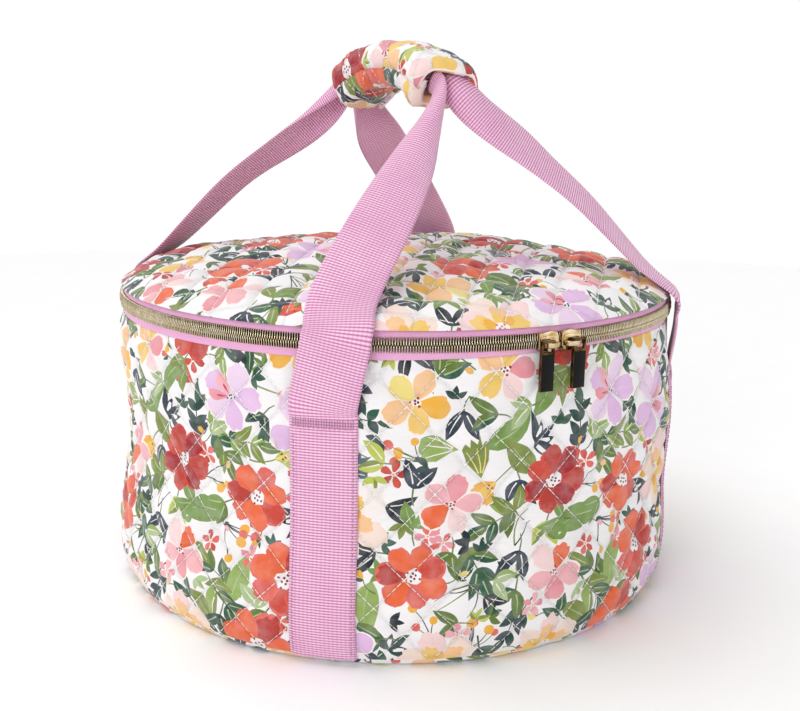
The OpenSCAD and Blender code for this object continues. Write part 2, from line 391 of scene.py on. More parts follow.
def metal(name, light, dark, rough, shade_colour, flanks=False):
    """Plated metal with painted shade: darker where it faces down, standing in for dark reflections, or, with
    flanks, where it faces along the zip, for the shade between the teeth.
    """
    m = Mat(name, Metallic=1.0)
    where = m.place()
    wear = m.noise(where, 240.0, 4.0)
    grain = m.noise(where, 3360.0, 2.0)
    colour = m.mix(m.span(wear, 0.0, 1.0, 0.35, 0.65), linear(dark), linear(light))
    nx, ny, nz = m.split(m.node("TexCoord").outputs["Normal"])
    # painted shade: the colour darkens towards faces that point down, standing in for the darker surroundings
    # polished metal reflects there
    painted_shade = m.span(nz, 1.0, 0.0, -0.75, 0.3)
    if flanks:
        # painted shade on the teeth's flanks, the faces that point along the zip, where the gaps between
        # teeth fall in shade
        px, py, _ = m.split(where)
        reach = m.maths("SQRT", m.maths("MULTIPLY_ADD", px, px, m.maths("MULTIPLY", py, py)))
        along = m.maths("SUBTRACT", m.maths("MULTIPLY", nx, py), m.maths("MULTIPLY", ny, px))
        painted_shade = m.span(m.maths("DIVIDE", m.maths("ABSOLUTE", along), reach), 0.0, 1.0, 0.45, 0.9)
    colour = m.mix(painted_shade, colour, linear(shade_colour))
    roughness = m.maths("MULTIPLY_ADD", grain, 0.12, m.span(wear, rough * 0.7, rough * 1.4, 0.3, 0.7))
    return m.done(colour, roughness, m.bump(grain, 0.01, 0.5))


def studio_floor():
    m = Mat("studio_floor", Specular_IOR_Level=0.2)
    speck = m.noise(m.place(), 30.0, 2.0)
    return m.done(m.mix(speck, (0.97, 0.97, 0.97, 1), (1.0, 1.0, 1.0, 1)), m.span(speck, 0.8, 0.9))


PRINT = printed_cotton()
WEBBING = webbing()
TAPE = woven_tape("zip_tape", "F2BCDF", "E29BCA", 0.9)
LINING = woven_tape("lining_cloth", "F6DCE4", "EBC6D3", 0.7)
HOOK = woven_tape("hook_and_loop", "F4F4F2", "CFCFCC", 1.1)
WHITE_THREAD = thread("white_thread", "E9E6E2", "FFFFFF")
PINK_THREAD = thread("pink_thread", "A96E92", "C98FB4")
WADDING = grainy(
    "wadding_fibre", "D9D8D2", "F6F5F0", (900.0, 5.0), (0.85, 1.0), 0.6,
    Sheen_Weight=0.4, Specular_IOR_Level=0.2,
)
# each metal's last colour is its painted shade colour, for faces that point down or, on the teeth, their
# flanks
TEETH = metal("teeth_gold", "F8ECD2", "E2CFA6", 0.2, "4A3A28", True)
GOLD = metal("polished_gold", "F6E2BC", "CFAA6A", 0.12, "33241A")
# the pull frame's gold is darkened all over, painted shade standing in for the dark reflections of its
# polished faces
SHADED_GOLD = metal("shaded_gold", "8F6E42", "3C2C1B", 0.16, "1A130D")
ENAMEL = grainy(
    "black_enamel", "040405", "0C0C0D", (1.0, 2.0), (0.3, 0.42), 0.01, 0.4, (3000.0, 3000.0, 90.0),
    Coat_Weight=0.06, Coat_Roughness=0.15, Specular_IOR_Level=0.12,
)
BOARD = grainy("stiff_board", "39393B", "4A4A4C", (1800.0, 3.0), (0.55, 0.7), 0.05, Specular_IOR_Level=0.4)

# ---------------------------------------------------------------- the printed pattern
# A motif is a list of (colour, outline) pairs, drawn in order, about its own origin.

# the pale midrib that goes with each green
MIDRIBS = {
    "olive": "sage", "moss": "sage", "green": "sage", "fern": "cream", "lime": "cream", "sage": "cream",
    "bottle": "sage", "pine": "sage", "navy": "white",
}
LEAF_INKS = (
    "moss", "green", "pine", "olive", "bottle", "pine", "navy", "sage", "lime", "moss", "ink", "navy",
)


def disc(rng, radius, wobble=0.05, points=9, x=0.0, y=0.0):
    out = []
    for i in range(points):
        a = 2 * math.pi * i / points
        r = radius * (1 + rng.uniform(-wobble, wobble))
        out.append((x + r * math.cos(a), y + r * math.sin(a)))
    return out


def petal(rng, length, half_angle, ragged=0.06, points=11, start=0.0):
    """A fan-shaped petal that grows from the origin along +x."""
    out = [(start, 0.0)]
    for i in range(points):
        t = -1 + 2 * (i + 0.5) / points
        a = math.radians(half_angle) * t
        r = length * math.cos(t * math.pi / 2) ** 0.28 * (1 + rng.uniform(-ragged, ragged))
        out.append((r * math.cos(a), r * math.sin(a)))
    return out


def leaf_outline(length, width, bend, side=0, inset=0.0, points=7):
    """A pointed leaf from the origin along +x; side +1 or -1 gives only that half."""
    upper, lower = [], []
    for i in range(points + 1):
        t = inset + (1 - 2 * inset) * i / points
        middle = bend * length * 4 * t * (1 - t)
        half = (width / 2 - inset * width) * math.sin(math.pi * t ** 0.85) ** 0.9
        upper.append((t * length, middle + (half if side >= 0 else 0.0)))
        lower.append((t * length, middle - (half if side <= 0 else 0.0)))
    if inset == 0.0:
        return lower[:-1] + upper[:0:-1]
    return lower + upper[::-1]


def strip(points, width, taper=0.6):
    """A thin stem along a list of points."""
    return thickened(points, lambda i: width / 2 * lerp(1.0, taper, i / (len(points) - 1)))


def bow(length, bend, points=6, start=(0.0, 0.0), angle=0.0):
    """Points along a gently bent stem."""
    ca, sa = math.cos(angle), math.sin(angle)
    out = []
    for i in range(points):
        t = i / (points - 1)
        x, y = t * length, bend * length * 4 * t * (1 - t)
        out.append((start[0] + ca * x - sa * y, start[1] + sa * x + ca * y))
    return out


def moved(shapes, angle=0.0, x=0.0, y=0.0, size=1.0, flip=False):
    """The same shapes turned, scaled and moved; flip mirrors them across their own x axis."""
    ca, sa = math.cos(angle) * size, math.sin(angle) * size
    out = []
    for colour, pts in shapes:
        if flip:
            pts = [(px, -py) for px, py in reversed(pts)]
        out.append((colour, [(x + ca * px - sa * py, y + sa * px + ca * py) for px, py in pts]))
    return out


def leaf(rng, length, width, ink, vein="pale"):
    bend = rng.uniform(-0.09, 0.09)
    shapes = [(ink, leaf_outline(length, width, bend))]
    if rng.random() < 0.35:
        other = {"fern": "olive", "green": "moss", "moss": "bottle", "sage": "fern", "lime": "olive"}.get(ink)
        if other:
            shapes.append((other, leaf_outline(length, width, bend, side=1)))
    if vein and length > 11.5:
        mid = [(t * length, bend * length * 4 * t * (1 - t) + 0.03 * width) for t in (0.16, 0.4, 0.6, 0.78)]
        shapes.append((MIDRIBS.get(ink, "cream") if vein == "pale" else vein, strip(mid, 0.7, 0.3)))
    return shapes


def spray(rng, length, inks, leaf_l, leaf_w, pairs, stem="moss"):
    """A bent stem with leaves in pairs and one at its tip."""
    bend = rng.uniform(-0.12, 0.12)
    line = bow(length, bend, 7)
    shapes = [(stem, strip(line, 0.8))]
    for i in range(pairs):
        t = (i + 1) / (pairs + 0.6)
        p = line[round(t * 6)]
        for side in (-1, 1):
            grow = leaf_l * rng.uniform(0.75, 1.1)
            shapes += moved(
                leaf(rng, grow, leaf_w, rng.choice(inks)), side * rng.uniform(0.55, 0.95), p[0], p[1]
            )
    return shapes + moved(leaf(rng, leaf_l * 1.15, leaf_w, rng.choice(inks)), 0.0, *line[-1])


def centre_dots(rng, radius, count, ink, size=0.75):
    shapes = []
    for i in range(count):
        a = 2 * math.pi * i / count + rng.uniform(-0.2, 0.2)
        r = radius * (0.35 + 0.55 * (i % 2)) + rng.uniform(-0.2, 0.2)
        shapes.append((ink, disc(rng, size, 0.12, 6, r * math.cos(a), r * math.sin(a))))
    return shapes


def ring_of_petals(rng, radius, count, inks, half_angle, ragged, gap_ink=None):
    shapes = []
    turn = rng.uniform(0, 6.28)
    order = list(range(count))
    rng.shuffle(order)
    for i in order:
        ink = inks[i % len(inks)]
        grow = radius * rng.uniform(0.88, 1.06)
        a = turn + 2 * math.pi * i / count + rng.uniform(-0.08, 0.08)
        if gap_ink:
            shapes += moved([(gap_ink, petal(rng, grow * 1.02, half_angle * 1.06, ragged * 0.5, 9))], a)
        shapes += moved([(ink, petal(rng, grow * 0.97, half_angle * 0.94, ragged, 13))], a)
    return shapes


def poppy(rng):
    inks = rng.choice((
        ("brick", "red", "red", "orange", "orange", "coral", "brick"),
        ("crimson", "red", "crimson", "red", "brick", "crimson", "red"),
        ("orange", "brick", "orange", "coral", "orange", "red", "orange"),
    ))
    shapes = ring_of_petals(rng, 17.5, 7, inks, 34, 0.09, "coral" if inks[0] != "crimson" else "brick")
    shapes.append(("white", disc(rng, 3.9, 0.22, 12)))
    return shapes + centre_dots(rng, 3.4, 8, "dot", 0.62)


def peach_bloom(rng):
    shapes = ring_of_petals(rng, 21, 6, ("peach", "blush", "cream", "peach"), 36, 0.07)
    shapes += ring_of_petals(rng, 14, 5, ("apricot", "yellow", "apricot"), 34, 0.08)
    shapes += ring_of_petals(rng, 8.5, 6, ("yellow", "gold"), 32, 0.08)
    shapes.append(("white", disc(rng, 3.6, 0.2, 10)))
    return shapes + centre_dots(rng, 3.0, 8, "orange", 0.6)


def lilac_bloom(rng):
    shapes = ring_of_petals(rng, 19, 5, ("lilac", "mauve", "lilac", "mauve", "lilac"), 37, 0.06, "cream")
    a = rng.uniform(0, 6.28)
    for k, ink in ((-0.5, "rose"), (0.45, "pink")):
        outer, streak = petal(rng, 12.5, 24, 0.08), petal(rng, 7.5, 7, 0.05, 7, 1.5)
        shapes += moved([(ink, outer), ("magenta", streak)], a + k)
    shapes.append(("white", disc(rng, 1.6, 0.2, 7)))
    return shapes + centre_dots(rng, 2.2, 5, "pine", 0.5)


def mixed_bloom(rng):
    inks = rng.choice((
        ("rose", "blush", "yellow", "apricot", "yellow"),
        ("pink", "rose", "pink", "blush", "orange"),
        ("apricot", "gold", "yellow", "apricot", "lemon"),
    ))
    shapes = ring_of_petals(rng, 15.5, 5, inks, 38, 0.05, "cream")
    shapes.append(("white", disc(rng, 1.8, 0.3, 8)))
    return shapes + centre_dots(rng, 2.4, 6, "dot", 0.62)


def small_bloom(rng):
    inks = rng.choice((("coral", "brick"), ("rose", "coral"), ("brick", "red"), ("pink", "rose")))
    shapes = ring_of_petals(rng, 6.2, 5, inks, 31, 0.07)
    return shapes + [("white", disc(rng, 1.1, 0.2, 7)), ("gold", disc(rng, 0.6, 0.1, 6))]


def tulip(rng):
    ink, shade = rng.choice((("orange", "brick"), ("yellow", "gold"), ("rose", "pink"), ("lemon", "lime")))
    shapes = [("olive", strip(bow(14, rng.uniform(-0.1, 0.1)), 0.9))]
    for a, tone in ((-0.42, shade), (0.42, shade), (0.0, ink)):
        shapes += moved([(tone, petal(rng, 11.5, 21, 0.09))], a, 12.5, 0.0)
    return shapes + moved(centre_dots(rng, 1.8, 3, "dot", 0.5), 0.0, 16.5, 0.0)


def berries(rng):
    inks = rng.choice((("gold", "apricot"), ("coral", "rose"), ("gold", "coral"), ("apricot", "lemon")))
    shapes = []
    for i in range(rng.randint(3, 5)):
        a = rng.uniform(-0.75, 0.75)
        line = bow(rng.uniform(10, 20), rng.uniform(-0.1, 0.1), 5, angle=a)
        shapes.append((rng.choice(("moss", "navy", "pine")), strip(line, 0.62)))
        shapes.append((inks[i % 2], disc(rng, rng.uniform(1.7, 2.6), 0.05, 10, *line[-1])))
    return shapes


def dark_cluster(rng):
    """Narrow leaves from one point, some of them with an open white middle."""
    ink = rng.choice(("navy", "pine", "ink", "bottle"))
    shapes = []
    count = rng.randint(4, 6)
    for i in range(count):
        a = lerp(-1.2, 1.2, i / (count - 1)) + rng.uniform(-0.1, 0.1)
        length = rng.uniform(9, 14)
        one = [(ink, leaf_outline(length, 3.9, 0.04))]
        if i % 2:
            one.append(("white", leaf_outline(length, 3.9, 0.04, inset=0.24, points=4)))
        shapes += moved(one, a)
    return shapes


def ragged_leaf(rng):
    ink, vein = rng.choice((("slate", "cream"), ("fern", "cream"), ("green", "white"), ("olive", "lemon")))
    shapes = [(ink, petal(rng, 17, 33, 0.14, 15))]
    for a in (-0.3, 0.05, 0.33):
        shapes += moved([(vein, strip(bow(11, 0.03, 4, (2.5, 0.0)), 0.55))], a)
    return shapes


def grass(rng):
    shapes = []
    for i in range(rng.randint(2, 4)):
        ink = rng.choice(("pine", "navy", "olive", "moss"))
        line = bow(rng.uniform(12, 20), rng.uniform(-0.16, 0.16), 6, angle=rng.uniform(-0.5, 0.5))
        shapes.append((ink, strip(line, 0.75, 0.4)))
    return shapes


def big_leaf(rng):
    length, width = rng.uniform(23, 31), rng.uniform(10, 13)
    return leaf(rng, length, width, rng.choice(("fern", "green", "olive", "moss")), "sage")


def leaf_pair(rng):
    ink = rng.choice(LEAF_INKS)
    shapes = []
    for a in (-0.5, 0.55):
        shapes += moved(leaf(rng, rng.uniform(12, 17), 6.0, ink), a)
    return shapes + [("moss", strip([(0, 0), (-4, 0.6), (-7, 2)], 0.8))]


def green_spray(rng):
    return spray(rng, rng.uniform(20, 27), ("fern", "olive", "moss", "bottle"), 13, 5.4, 3)


def dark_spray(rng):
    return spray(rng, rng.uniform(17, 23), ("pine", "navy", "bottle"), 9.5, 4.2, 3, "pine")


def tiny_leaves(rng):
    ink = rng.choice(LEAF_INKS)
    shapes = []
    for i in range(3):
        shapes += moved(leaf(rng, 6.5, 3.0, ink, None), -1.0 + i * 0.95)
    return shapes


def bud(rng):
    ink = rng.choice(("gold", "lemon", "coral", "pink"))
    sepal = moved([("bottle", leaf_outline(4.5, 1.8, 0.1))], 0.8)
    return [("moss", strip(bow(8, 0.15), 0.7))] + moved([(ink, petal(rng, 4.6, 34, 0.1, 9))] + sepal, x=7.5)


LARGE = (poppy, peach_bloom, mixed_bloom, lilac_bloom, poppy, mixed_bloom)
MIDDLE = (
    green_spray, dark_cluster, big_leaf, dark_spray, green_spray, tulip, berries, ragged_leaf, big_leaf,
    leaf_pair, dark_spray, berries, green_spray, grass,
)
SMALL = (small_bloom, tiny_leaves, leaf_pair, bud, leaf_pair, tiny_leaves)


def scatter(rng, width, height, periodic, inside):
    """Places for large, middle-sized and small motifs, none too close to another."""
    placed = []

    def gap(x, y, other):
        dx = abs(x - other[0])
        if periodic:
            dx = min(dx, width - dx)
        return math.hypot(dx, y - other[1])

    # each rank's radius, how closely it packs, and how many places are tried
    for rank, (size, pack, tries) in enumerate(((21.0, 0.95, 1500), (10.5, 0.74, 5000), (5.0, 0.74, 7000))):
        for _ in range(tries):
            x, y = rng.uniform(0, width), rng.uniform(-6, height + 6)
            if not inside(x, y):
                continue
            if all(gap(x, y, p) > (size + p[2]) * pack for p in placed):
                placed.append((x, y, size, rank))
    return placed


def floral(rng, width, height, periodic, inside):
    """All the print's shapes over a rectangle, in drawing order: sprays, small motifs, then flowers."""
    layers = {0: [], 1: [], 2: []}
    turn = {0: 0, 1: 0, 2: 0}
    for x, y, _, rank in scatter(rng, width, height, periodic, inside):
        kinds = (LARGE, MIDDLE, SMALL)[rank]
        kind = kinds[turn[rank] % len(kinds)]
        turn[rank] += 1
        shapes = kind(rng)
        xs = [px for _, pts in shapes for px, _ in pts]
        middle = (max(xs) + min(xs)) / 2
        centred = [(c, [(px - middle, py) for px, py in pts]) for c, pts in shapes]
        placed = moved(centred, rng.uniform(0, 2 * math.pi), x, y, rng.uniform(1.0, 1.2), rng.random() < 0.5)
        layers[rank] += placed
        if periodic:
            for step in (-width, width):
                layers[rank] += moved(placed, 0.0, step)
    return layers[1] + layers[2] + layers[0]


def quilt_lines(width, height, step):
    """Both families of diagonal quilting lines over a rectangle, as chains of points."""
    chains = []
    count = math.ceil((width + height) / QUILT)
    for sign in (1, -1):
        for k in range(-count, 2 * count):
            line = [(k * QUILT + sign * y, y) for y in shares(height, math.ceil(height / step))]
            chain = [(x, y) for x, y in line if -step <= x <= width + step]
            if len(chain) > 1:
                chains.append(chain)
    return chains


def rectangle(xs, ys):
    """Width, height, outline and inside test of a sheet with edge points at the given places."""
    width, height = xs[-1], ys[-1]
    outline = [(x, 0.0) for x in xs[:-1]] + [(width, y) for y in ys[:-1]]
    outline += [(x, height) for x in xs[:0:-1]] + [(0.0, y) for y in ys[:0:-1]]

    def inside(x, y, margin=0.0):
        return -margin <= x <= width + margin and -margin <= y <= height + margin

    return width, height, outline, inside


def circle(radius, middle, count, turn=0.0):
    """Points round a circle about (middle, middle); turn shifts them by a share of a step."""
    angles = [2 * math.pi * (i + turn) / count for i in range(count)]
    return [(radius * math.cos(a) + middle, radius * math.sin(a) + middle) for a in angles]


def round_sheet(radius, middle, count):
    """The same as rectangle gives, for a round sheet about (middle, middle)."""

    def inside(x, y, margin=0.0):
        return math.hypot(x - middle, y - middle) <= radius + margin

    return 2 * middle, 2 * middle, circle(radius, middle, count), inside


def printed_sheet(seed, sheet, grid, folds=(), periodic=False):
    """Prints a flat sheet and cuts it along every printed edge, quilting line and fold.

    Gives its points, its triangles and each triangle's colour.
    """
    width, height, outline, inside = sheet
    shapes = floral(random.Random(seed), width, height, periodic, lambda x, y: inside(x, y, 8))
    verts, faces, edges = [], [], []
    inks = [INK["white"]]

    def add(points):
        first = len(verts)
        verts.extend(Vector(p) for p in points)
        return list(range(first, first + len(points)))

    faces.append(add(outline))
    for ink, pts in shapes:
        if all(not inside(px, py, 2.0) for px, py in pts):
            continue
        area = sum(a[0] * b[1] - b[0] * a[1] for a, b in zip(pts, pts[1:] + pts[:1]))
        faces.append(add(pts if area > 0 else pts[::-1]))
        inks.append(INK[ink])
    for chain in quilt_lines(width, height, grid) + list(folds):
        ids = add(chain)
        edges += list(zip(ids, ids[1:]))
    rows, columns = int(height / grid), int(width / grid)
    for j in range(1, rows):
        for i in range(columns):
            x, y = width * (i + (0.25 if j % 2 else 0.75)) / columns, height * j / rows
            if inside(x, y, -0.4):
                verts.append(Vector((x, y)))
    result = delaunay_2d_cdt(verts, edges, faces, 0, 1e-4, True)
    # a triangle's last owner is the shape drawn on top; one that the outline doesn't own lies outside
    owned = [(tuple(tri), inks[max(ids)]) for tri, ids in zip(result[2], result[5]) if 0 in ids]
    points, tris = compact(result[0], [tri for tri, _ in owned])
    return points, tris, [ink for _, ink in owned]


def two_sided(tris, count):
    """Faces of a sheet's two sides, whose points are count apart, and those of the rim between them."""
    edges = dict.fromkeys((a, b) for t in tris for a, b in zip(t, t[1:] + t[:1]))
    rim = [(b, a, a + count, b + count) for a, b in edges if (b, a) not in edges]
    return tris + [tuple(i + count for i in t[::-1]) for t in tris], rim


def quilted(name, verts, faces, body, replaces, cloth, colours):
    """A printed piece."""
    piece = make_piece(name, verts, faces, PRINT, body, replaces, cloth, colours)


def compact(points, faces):
    """Drops points that no face uses."""
    used = sorted({i for f in faces for i in f})
    index = {old: new for new, old in enumerate(used)}
    return [points[i] for i in used], [tuple(index[i] for i in f) for f in faces]


# ---------------------------------------------------------------- shapes of the soft body

STRAP_ANGLES = (-135, -45, 45, 135)


def belly(angle, z):
    """How far the soft wall stands in or out of the plain cylinder."""
    a = math.radians(angle + 123)
    # the wall sinks in on one side and swells on the other, and swells low down all round
    waist = -3.6 * (0.5 + 0.5 * math.cos(a)) * bell(z, 96, 30)
    bulge = 3.6 * (0.5 - 0.5 * math.cos(a)) * bell(z, 104, 36)
    low_bulge = 3.4 * bell(z, 30, 26)
    b = math.radians(angle)
    ripple = 1.1 * uneven(math.cos(b) * 1.7, math.sin(b) * 1.7, z / 60)
    calm = smooth((152 - z) / 34)
    foot = -3.6 * max(0.0, 1 - z / 12) ** 2
    return (waist + bulge + low_bulge + ripple) * calm + foot


def quilt(s, t, height):
    """Height of the padding between the quilting lines."""
    a = abs(math.sin(math.pi * (s + t) / QUILT))
    b = abs(math.sin(math.pi * (s - t) / QUILT))
    return height * (a * b) ** 0.5


def near_strap(angle):
    """1 under a strap's tail, 0 away from it."""
    gap = min(abs((angle - a + 180) % 360 - 180) for a in STRAP_ANGLES) * math.pi / 180 * BAG_R
    return 1 - smooth((gap - STRAP_W / 2 + 2) / 7)


# the wall's fabric turns in over the rim round a small radius and hangs 5 mm down inside
FOLD_R = 0.8
WALL_SHEET = WALL_TOP - FOOT_Z - FOLD_R + math.pi * FOLD_R + 5
STRAIGHT = WALL_TOP - FOLD_R - FOOT_Z


def wall_point(s, t, lift=0.0):
    """The outer fabric at a length s round the bag and t up from the foot, turned in over the rim."""
    angle = math.degrees(s / BAG_R) - 180
    rise = 2.4 * bell(angle, 6, 30) * smooth((t - STRAIGHT + 40) / 40)
    z = FOOT_Z + min(t, STRAIGHT) + rise
    edge = smooth(t / 9) * smooth((STRAIGHT - t) / 8)
    puff = quilt(s, t, 2.5) * edge * (1 - 0.85 * near_strap(angle))
    wrinkle = 0.55 * uneven(s / 16, t / 4.5, 3.0) * edge
    r = CLOTH_R + belly(angle, z) + puff + wrinkle + lift
    over = t - STRAIGHT
    if over > 0:
        turn = min(over / FOLD_R, math.pi)
        r = CLOTH_R - FOLD_R + (FOLD_R + lift) * math.cos(turn)
        z = WALL_TOP + rise - FOLD_R + (FOLD_R + lift) * math.sin(turn) - max(0.0, over - math.pi * FOLD_R)
    return around(angle, r, z)


# the lid's fabric reaches this far before it turns down round its edge
LID_FLAT = LID_R - 0.9


def lid_dome(r):
    return (LID_TOP - LID_Z - 1.5) * (1 - (r / BAG_R) ** 2)


def lid_height(x, y):
    """The lid's top surface: a shallow dome, puffed at its rim and loose between the quilting lines."""
    r = math.hypot(x, y)
    dome = lid_dome(r)
    rim = 2.4 * (1 - math.exp(-(LID_FLAT - r) / 5)) if r < LID_FLAT else 0.0
    calm = smooth((LID_FLAT - r) / 14)
    sag = 3.2 * uneven(x / 62, y / 62, 7.3) * calm
    side = math.atan2(y, x)
    lean = 1.3 * math.cos(side + math.radians(125)) * (r / BAG_R) ** 2 * calm
    return LID_Z + 2.2 + dome + rim + sag + lean + quilt(x + BAG_R, y + BAG_R, 3.2) * calm


def lid_point(x, y, lift=0.0):
    r = math.hypot(x, y)
    if r <= LID_FLAT:
        return Vector((x, y, lid_height(x, y) + lift))
    over, edge_r = r - LID_FLAT, 1.0
    turn = min(over / edge_r, math.pi / 2)
    top = lid_height(x / r * LID_FLAT, y / r * LID_FLAT)
    down = max(0.0, over - math.pi / 2)
    rr = LID_FLAT + (edge_r + lift) * math.sin(turn)
    return Vector((x / r * rr, y / r * rr, top - edge_r + (edge_r + lift) * math.cos(turn) - down))


def stitch_run(points, normals, verts, faces, length=3.4, gap=0.2, radius=0.32):
    """A row of thread stitches along a path of 3-D points, half sunk in the cloth."""
    travelled = [0.0]
    for a, b in zip(points, points[1:]):
        travelled.append(travelled[-1] + (b - a).length)

    def at(d):
        i = 0
        while i < len(travelled) - 2 and travelled[i + 1] < d:
            i += 1
        k = (d - travelled[i]) / max(travelled[i + 1] - travelled[i], 1e-9)
        return points[i].lerp(points[i + 1], k), normals[i].lerp(normals[i + 1], k).normalized()

    # places along a stitch, and how thick it is there; both ends are points under the cloth
    stations = ((0.0, 0.0), (0.1, 0.9), (0.9, 0.9), (1.0, 0.0))
    probe = 0.2
    d = gap / 2
    while d + length <= travelled[-1]:
        ends = []
        for f, fat in stations:
            p, n = at(d + f * length)
            after, _ = at(min(d + f * length + probe, travelled[-1]))
            before, _ = at(max(d + f * length - probe, 0.0))
            side = (after - before).normalized().cross(n).normalized()
            rise = radius * (0.25 + 0.75 * fat)
            if fat == 0.0:
                ends.append([len(verts)])
                verts.append(p - n * radius * 0.6)
            else:
                ends.append(list(range(len(verts), len(verts) + 4)))
                verts.extend((p + side * radius, p + n * rise, p - side * radius, p - n * radius * 0.6))
        a, b, c, e = ends
        for k in range(4):
            m = (k + 1) % 4
            faces.append((a[0], b[k], b[m]))
            faces.append((b[k], c[k], c[m], b[m]))
            faces.append((c[k], e[0], c[m]))
        d += length + gap


# ---------------------------------------------------------------- bag body


def wall_fabric():
    """One printed tile, repeated round the bag and welded to itself where tiles meet."""
    xs = shares(TILE_W, 50)
    bends = [STRAIGHT + FOLD_R * turn for turn in (-2.0, 0.0, 0.8, 1.57, 2.35, 3.14)]
    sheet = rectangle(xs, sorted(shares(WALL_SHEET, 36) + bends))
    folds = [[(x, y) for x in xs] for y in bends]
    points, tris, colours = printed_sheet(11, sheet, 5.4, folds, periodic=True)
    verts, cloth, faces, inks, index = [], [], [], [], {}
    for k in range(TILES):
        local = []
        for p in points:
            s = p.x + k * TILE_W
            key = (round((s % TURN) * 40) % round(TURN * 40), round(p.y * 40))
            if key not in index:
                index[key] = len(verts)
                verts.append(wall_point(s, p.y))
                cloth.append((s, p.y))
            local.append(index[key])
        for tri, ink in zip(tris, colours):
            f = tuple(local[i] for i in tri)
            if len(set(f)) == 3:
                faces.append(f)
                inks.append(ink)
    quilted("wall_quilted_fabric", verts, faces, "bag", ("wall_outer",), cloth, inks)


def wall_quilting():
    verts, faces = [], []
    bottom, top = 2, WALL_TOP - FOOT_Z - 3
    for sign in (1, -1):
        for k in range(round(TURN / QUILT)):
            points, normals = [], []
            for rise in shares(top - bottom, 60):
                t = bottom + rise
                s = k * QUILT + sign * t
                points.append(wall_point(s, t))
                normals.append(around(math.degrees(s / BAG_R) - 180, 1.0, 0.0))
            stitch_run(points, normals, verts, faces)
    make_piece("wall_quilting_thread", verts, faces, WHITE_THREAD, "bag")


def shell_of_revolution(name, profile, steps, material, body, replaces, offset=None):
    """Turns a closed profile of (radius, z) points round the bag; offset(angle, z) moves points in or out."""
    verts, cloth = [], []
    for i in range(steps):
        angle = 360 * i / steps
        length = 0.0
        for k, (r, z) in enumerate(profile):
            if k:
                length += math.hypot(r - profile[k - 1][0], z - profile[k - 1][1])
            shift = offset(angle, z) if offset else 0.0
            verts.append(around(angle, r + shift, z))
            cloth.append((math.radians(angle) * max(r, 1.0), length))
    columns = len(profile)
    faces = []
    for i in range(steps):
        for k in range(columns):
            a, b = i * columns + k, i * columns + (k + 1) % columns
            c, d = (i + 1) % steps * columns + (k + 1) % columns, (i + 1) % steps * columns + k
            faces.append((a, d, c, b))
    return make_piece(name, verts, faces, material, body, replaces, cloth)


def disc_piece(name, radius, height, material, body, replaces, up=True):
    """A round cloth panel; height(x, y) gives its z, and up says which way it faces."""
    rings, steps = 40, 180
    verts, cloth, faces = [Vector((0, 0, height(0, 0)))], [(0.0, 0.0)], []
    for j in range(1, rings + 1):
        r = radius * j / rings
        for i in range(steps):
            p = around(360 * i / steps, r, 0.0)
            verts.append(Vector((p.x, p.y, height(p.x, p.y))))
            cloth.append((p.x, p.y))
    for i in range(steps):
        m = (i + 1) % steps
        faces.append((0, 1 + i, 1 + m) if up else (0, 1 + m, 1 + i))
        for j in range(rings - 1):
            a, b = 1 + j * steps + i, 1 + j * steps + m
            quad = (a, a + steps, b + steps, b)
            faces.append(quad if up else quad[::-1])
    return make_piece(name, verts, faces, material, body, replaces, cloth)


def ease(angle, z):
    """Wrinkles of the loose lining, always towards the middle of the bag."""
    a = math.radians(angle)
    n = uneven(math.cos(a) * 9, math.sin(a) * 9, z / 45)
    return -0.9 * (0.5 + 0.5 * n) * smooth((WALL_TOP - z) / 25) * smooth((z - FLOOR_IN) / 12)


def inner_layers():
    lining_out = INSIDE_R + 0.9
    zs = [FLOOR_IN - 1 + rise for rise in shares(WALL_TOP - FLOOR_IN + 0.4, 30)]
    profile = [(INSIDE_R, z) for z in zs] + [(lining_out, z) for z in reversed(zs)]
    shell_of_revolution("wall_lining_cloth", profile, 240, LINING, "bag", ("wall_lining",), ease)
    zs = [FOOT_Z + 1 + rise for rise in shares(WALL_TOP - 8 - FOOT_Z, 24)]
    profile = [(lining_out + 0.3, z) for z in zs] + [(BAG_R - 4.4, z) for z in reversed(zs)]
    wadding = shell_of_revolution(
        "wall_wadding_layer", profile, 120, WADDING, "bag", ("wall_wadding",)
    )
    low_z, high_z = low("rim_binding").z, high("rim_binding").z
    profile = [
        (lining_out + 0.2, low_z), (lining_out + 0.1, high_z - 0.6), (lining_out + 0.7, high_z),
        (TEETH_R - 1.8, high_z), (TEETH_R - 1.25, high_z - 0.6), (TEETH_R - 1.3, low_z),
    ]
    shell_of_revolution("rim_seam_binding", profile, 240, TAPE, "bag", ("rim_binding",))
    disc_piece(
        "base_lining_cloth", INSIDE_R - 0.2,
        lambda x, y: FLOOR_IN - 0.7 + 0.7 * (0.5 + 0.5 * uneven(x / 38, y / 38, 1.0)),
        LINING, "bag", ("base_lining",),
    )


def base_fabric():
    """The base panel: flat print below, turned up at the foot to meet the wall."""
    flat_r, lip = BAG_R - 6.5, 9.0
    sheet_r = flat_r + lip
    points, tris, colours = printed_sheet(29, round_sheet(sheet_r, sheet_r, 300), 8.0)

    def place(p):
        x, y = p.x - sheet_r, p.y - sheet_r
        r = math.hypot(x, y)
        angle = math.degrees(math.atan2(x, y))
        if r <= flat_r:
            return Vector((x, -y, quilt(p.x, p.y, 0.7) * smooth((flat_r - r) / 10)))
        k = (r - flat_r) / lip
        edge = CLOTH_R + belly(angle, FOOT_Z) - 0.3
        rr = lerp(flat_r, edge, math.sin(k * math.pi / 2))
        return Vector((x / r * rr, -y / r * rr, (FOOT_Z + 0.2) * (1 - math.cos(k * math.pi / 2))))

    verts = [place(p) for p in points]
    quilted("base_quilted_fabric", verts, tris, "bag", ("base_panel",), points, colours)


# ---------------------------------------------------------------- lid


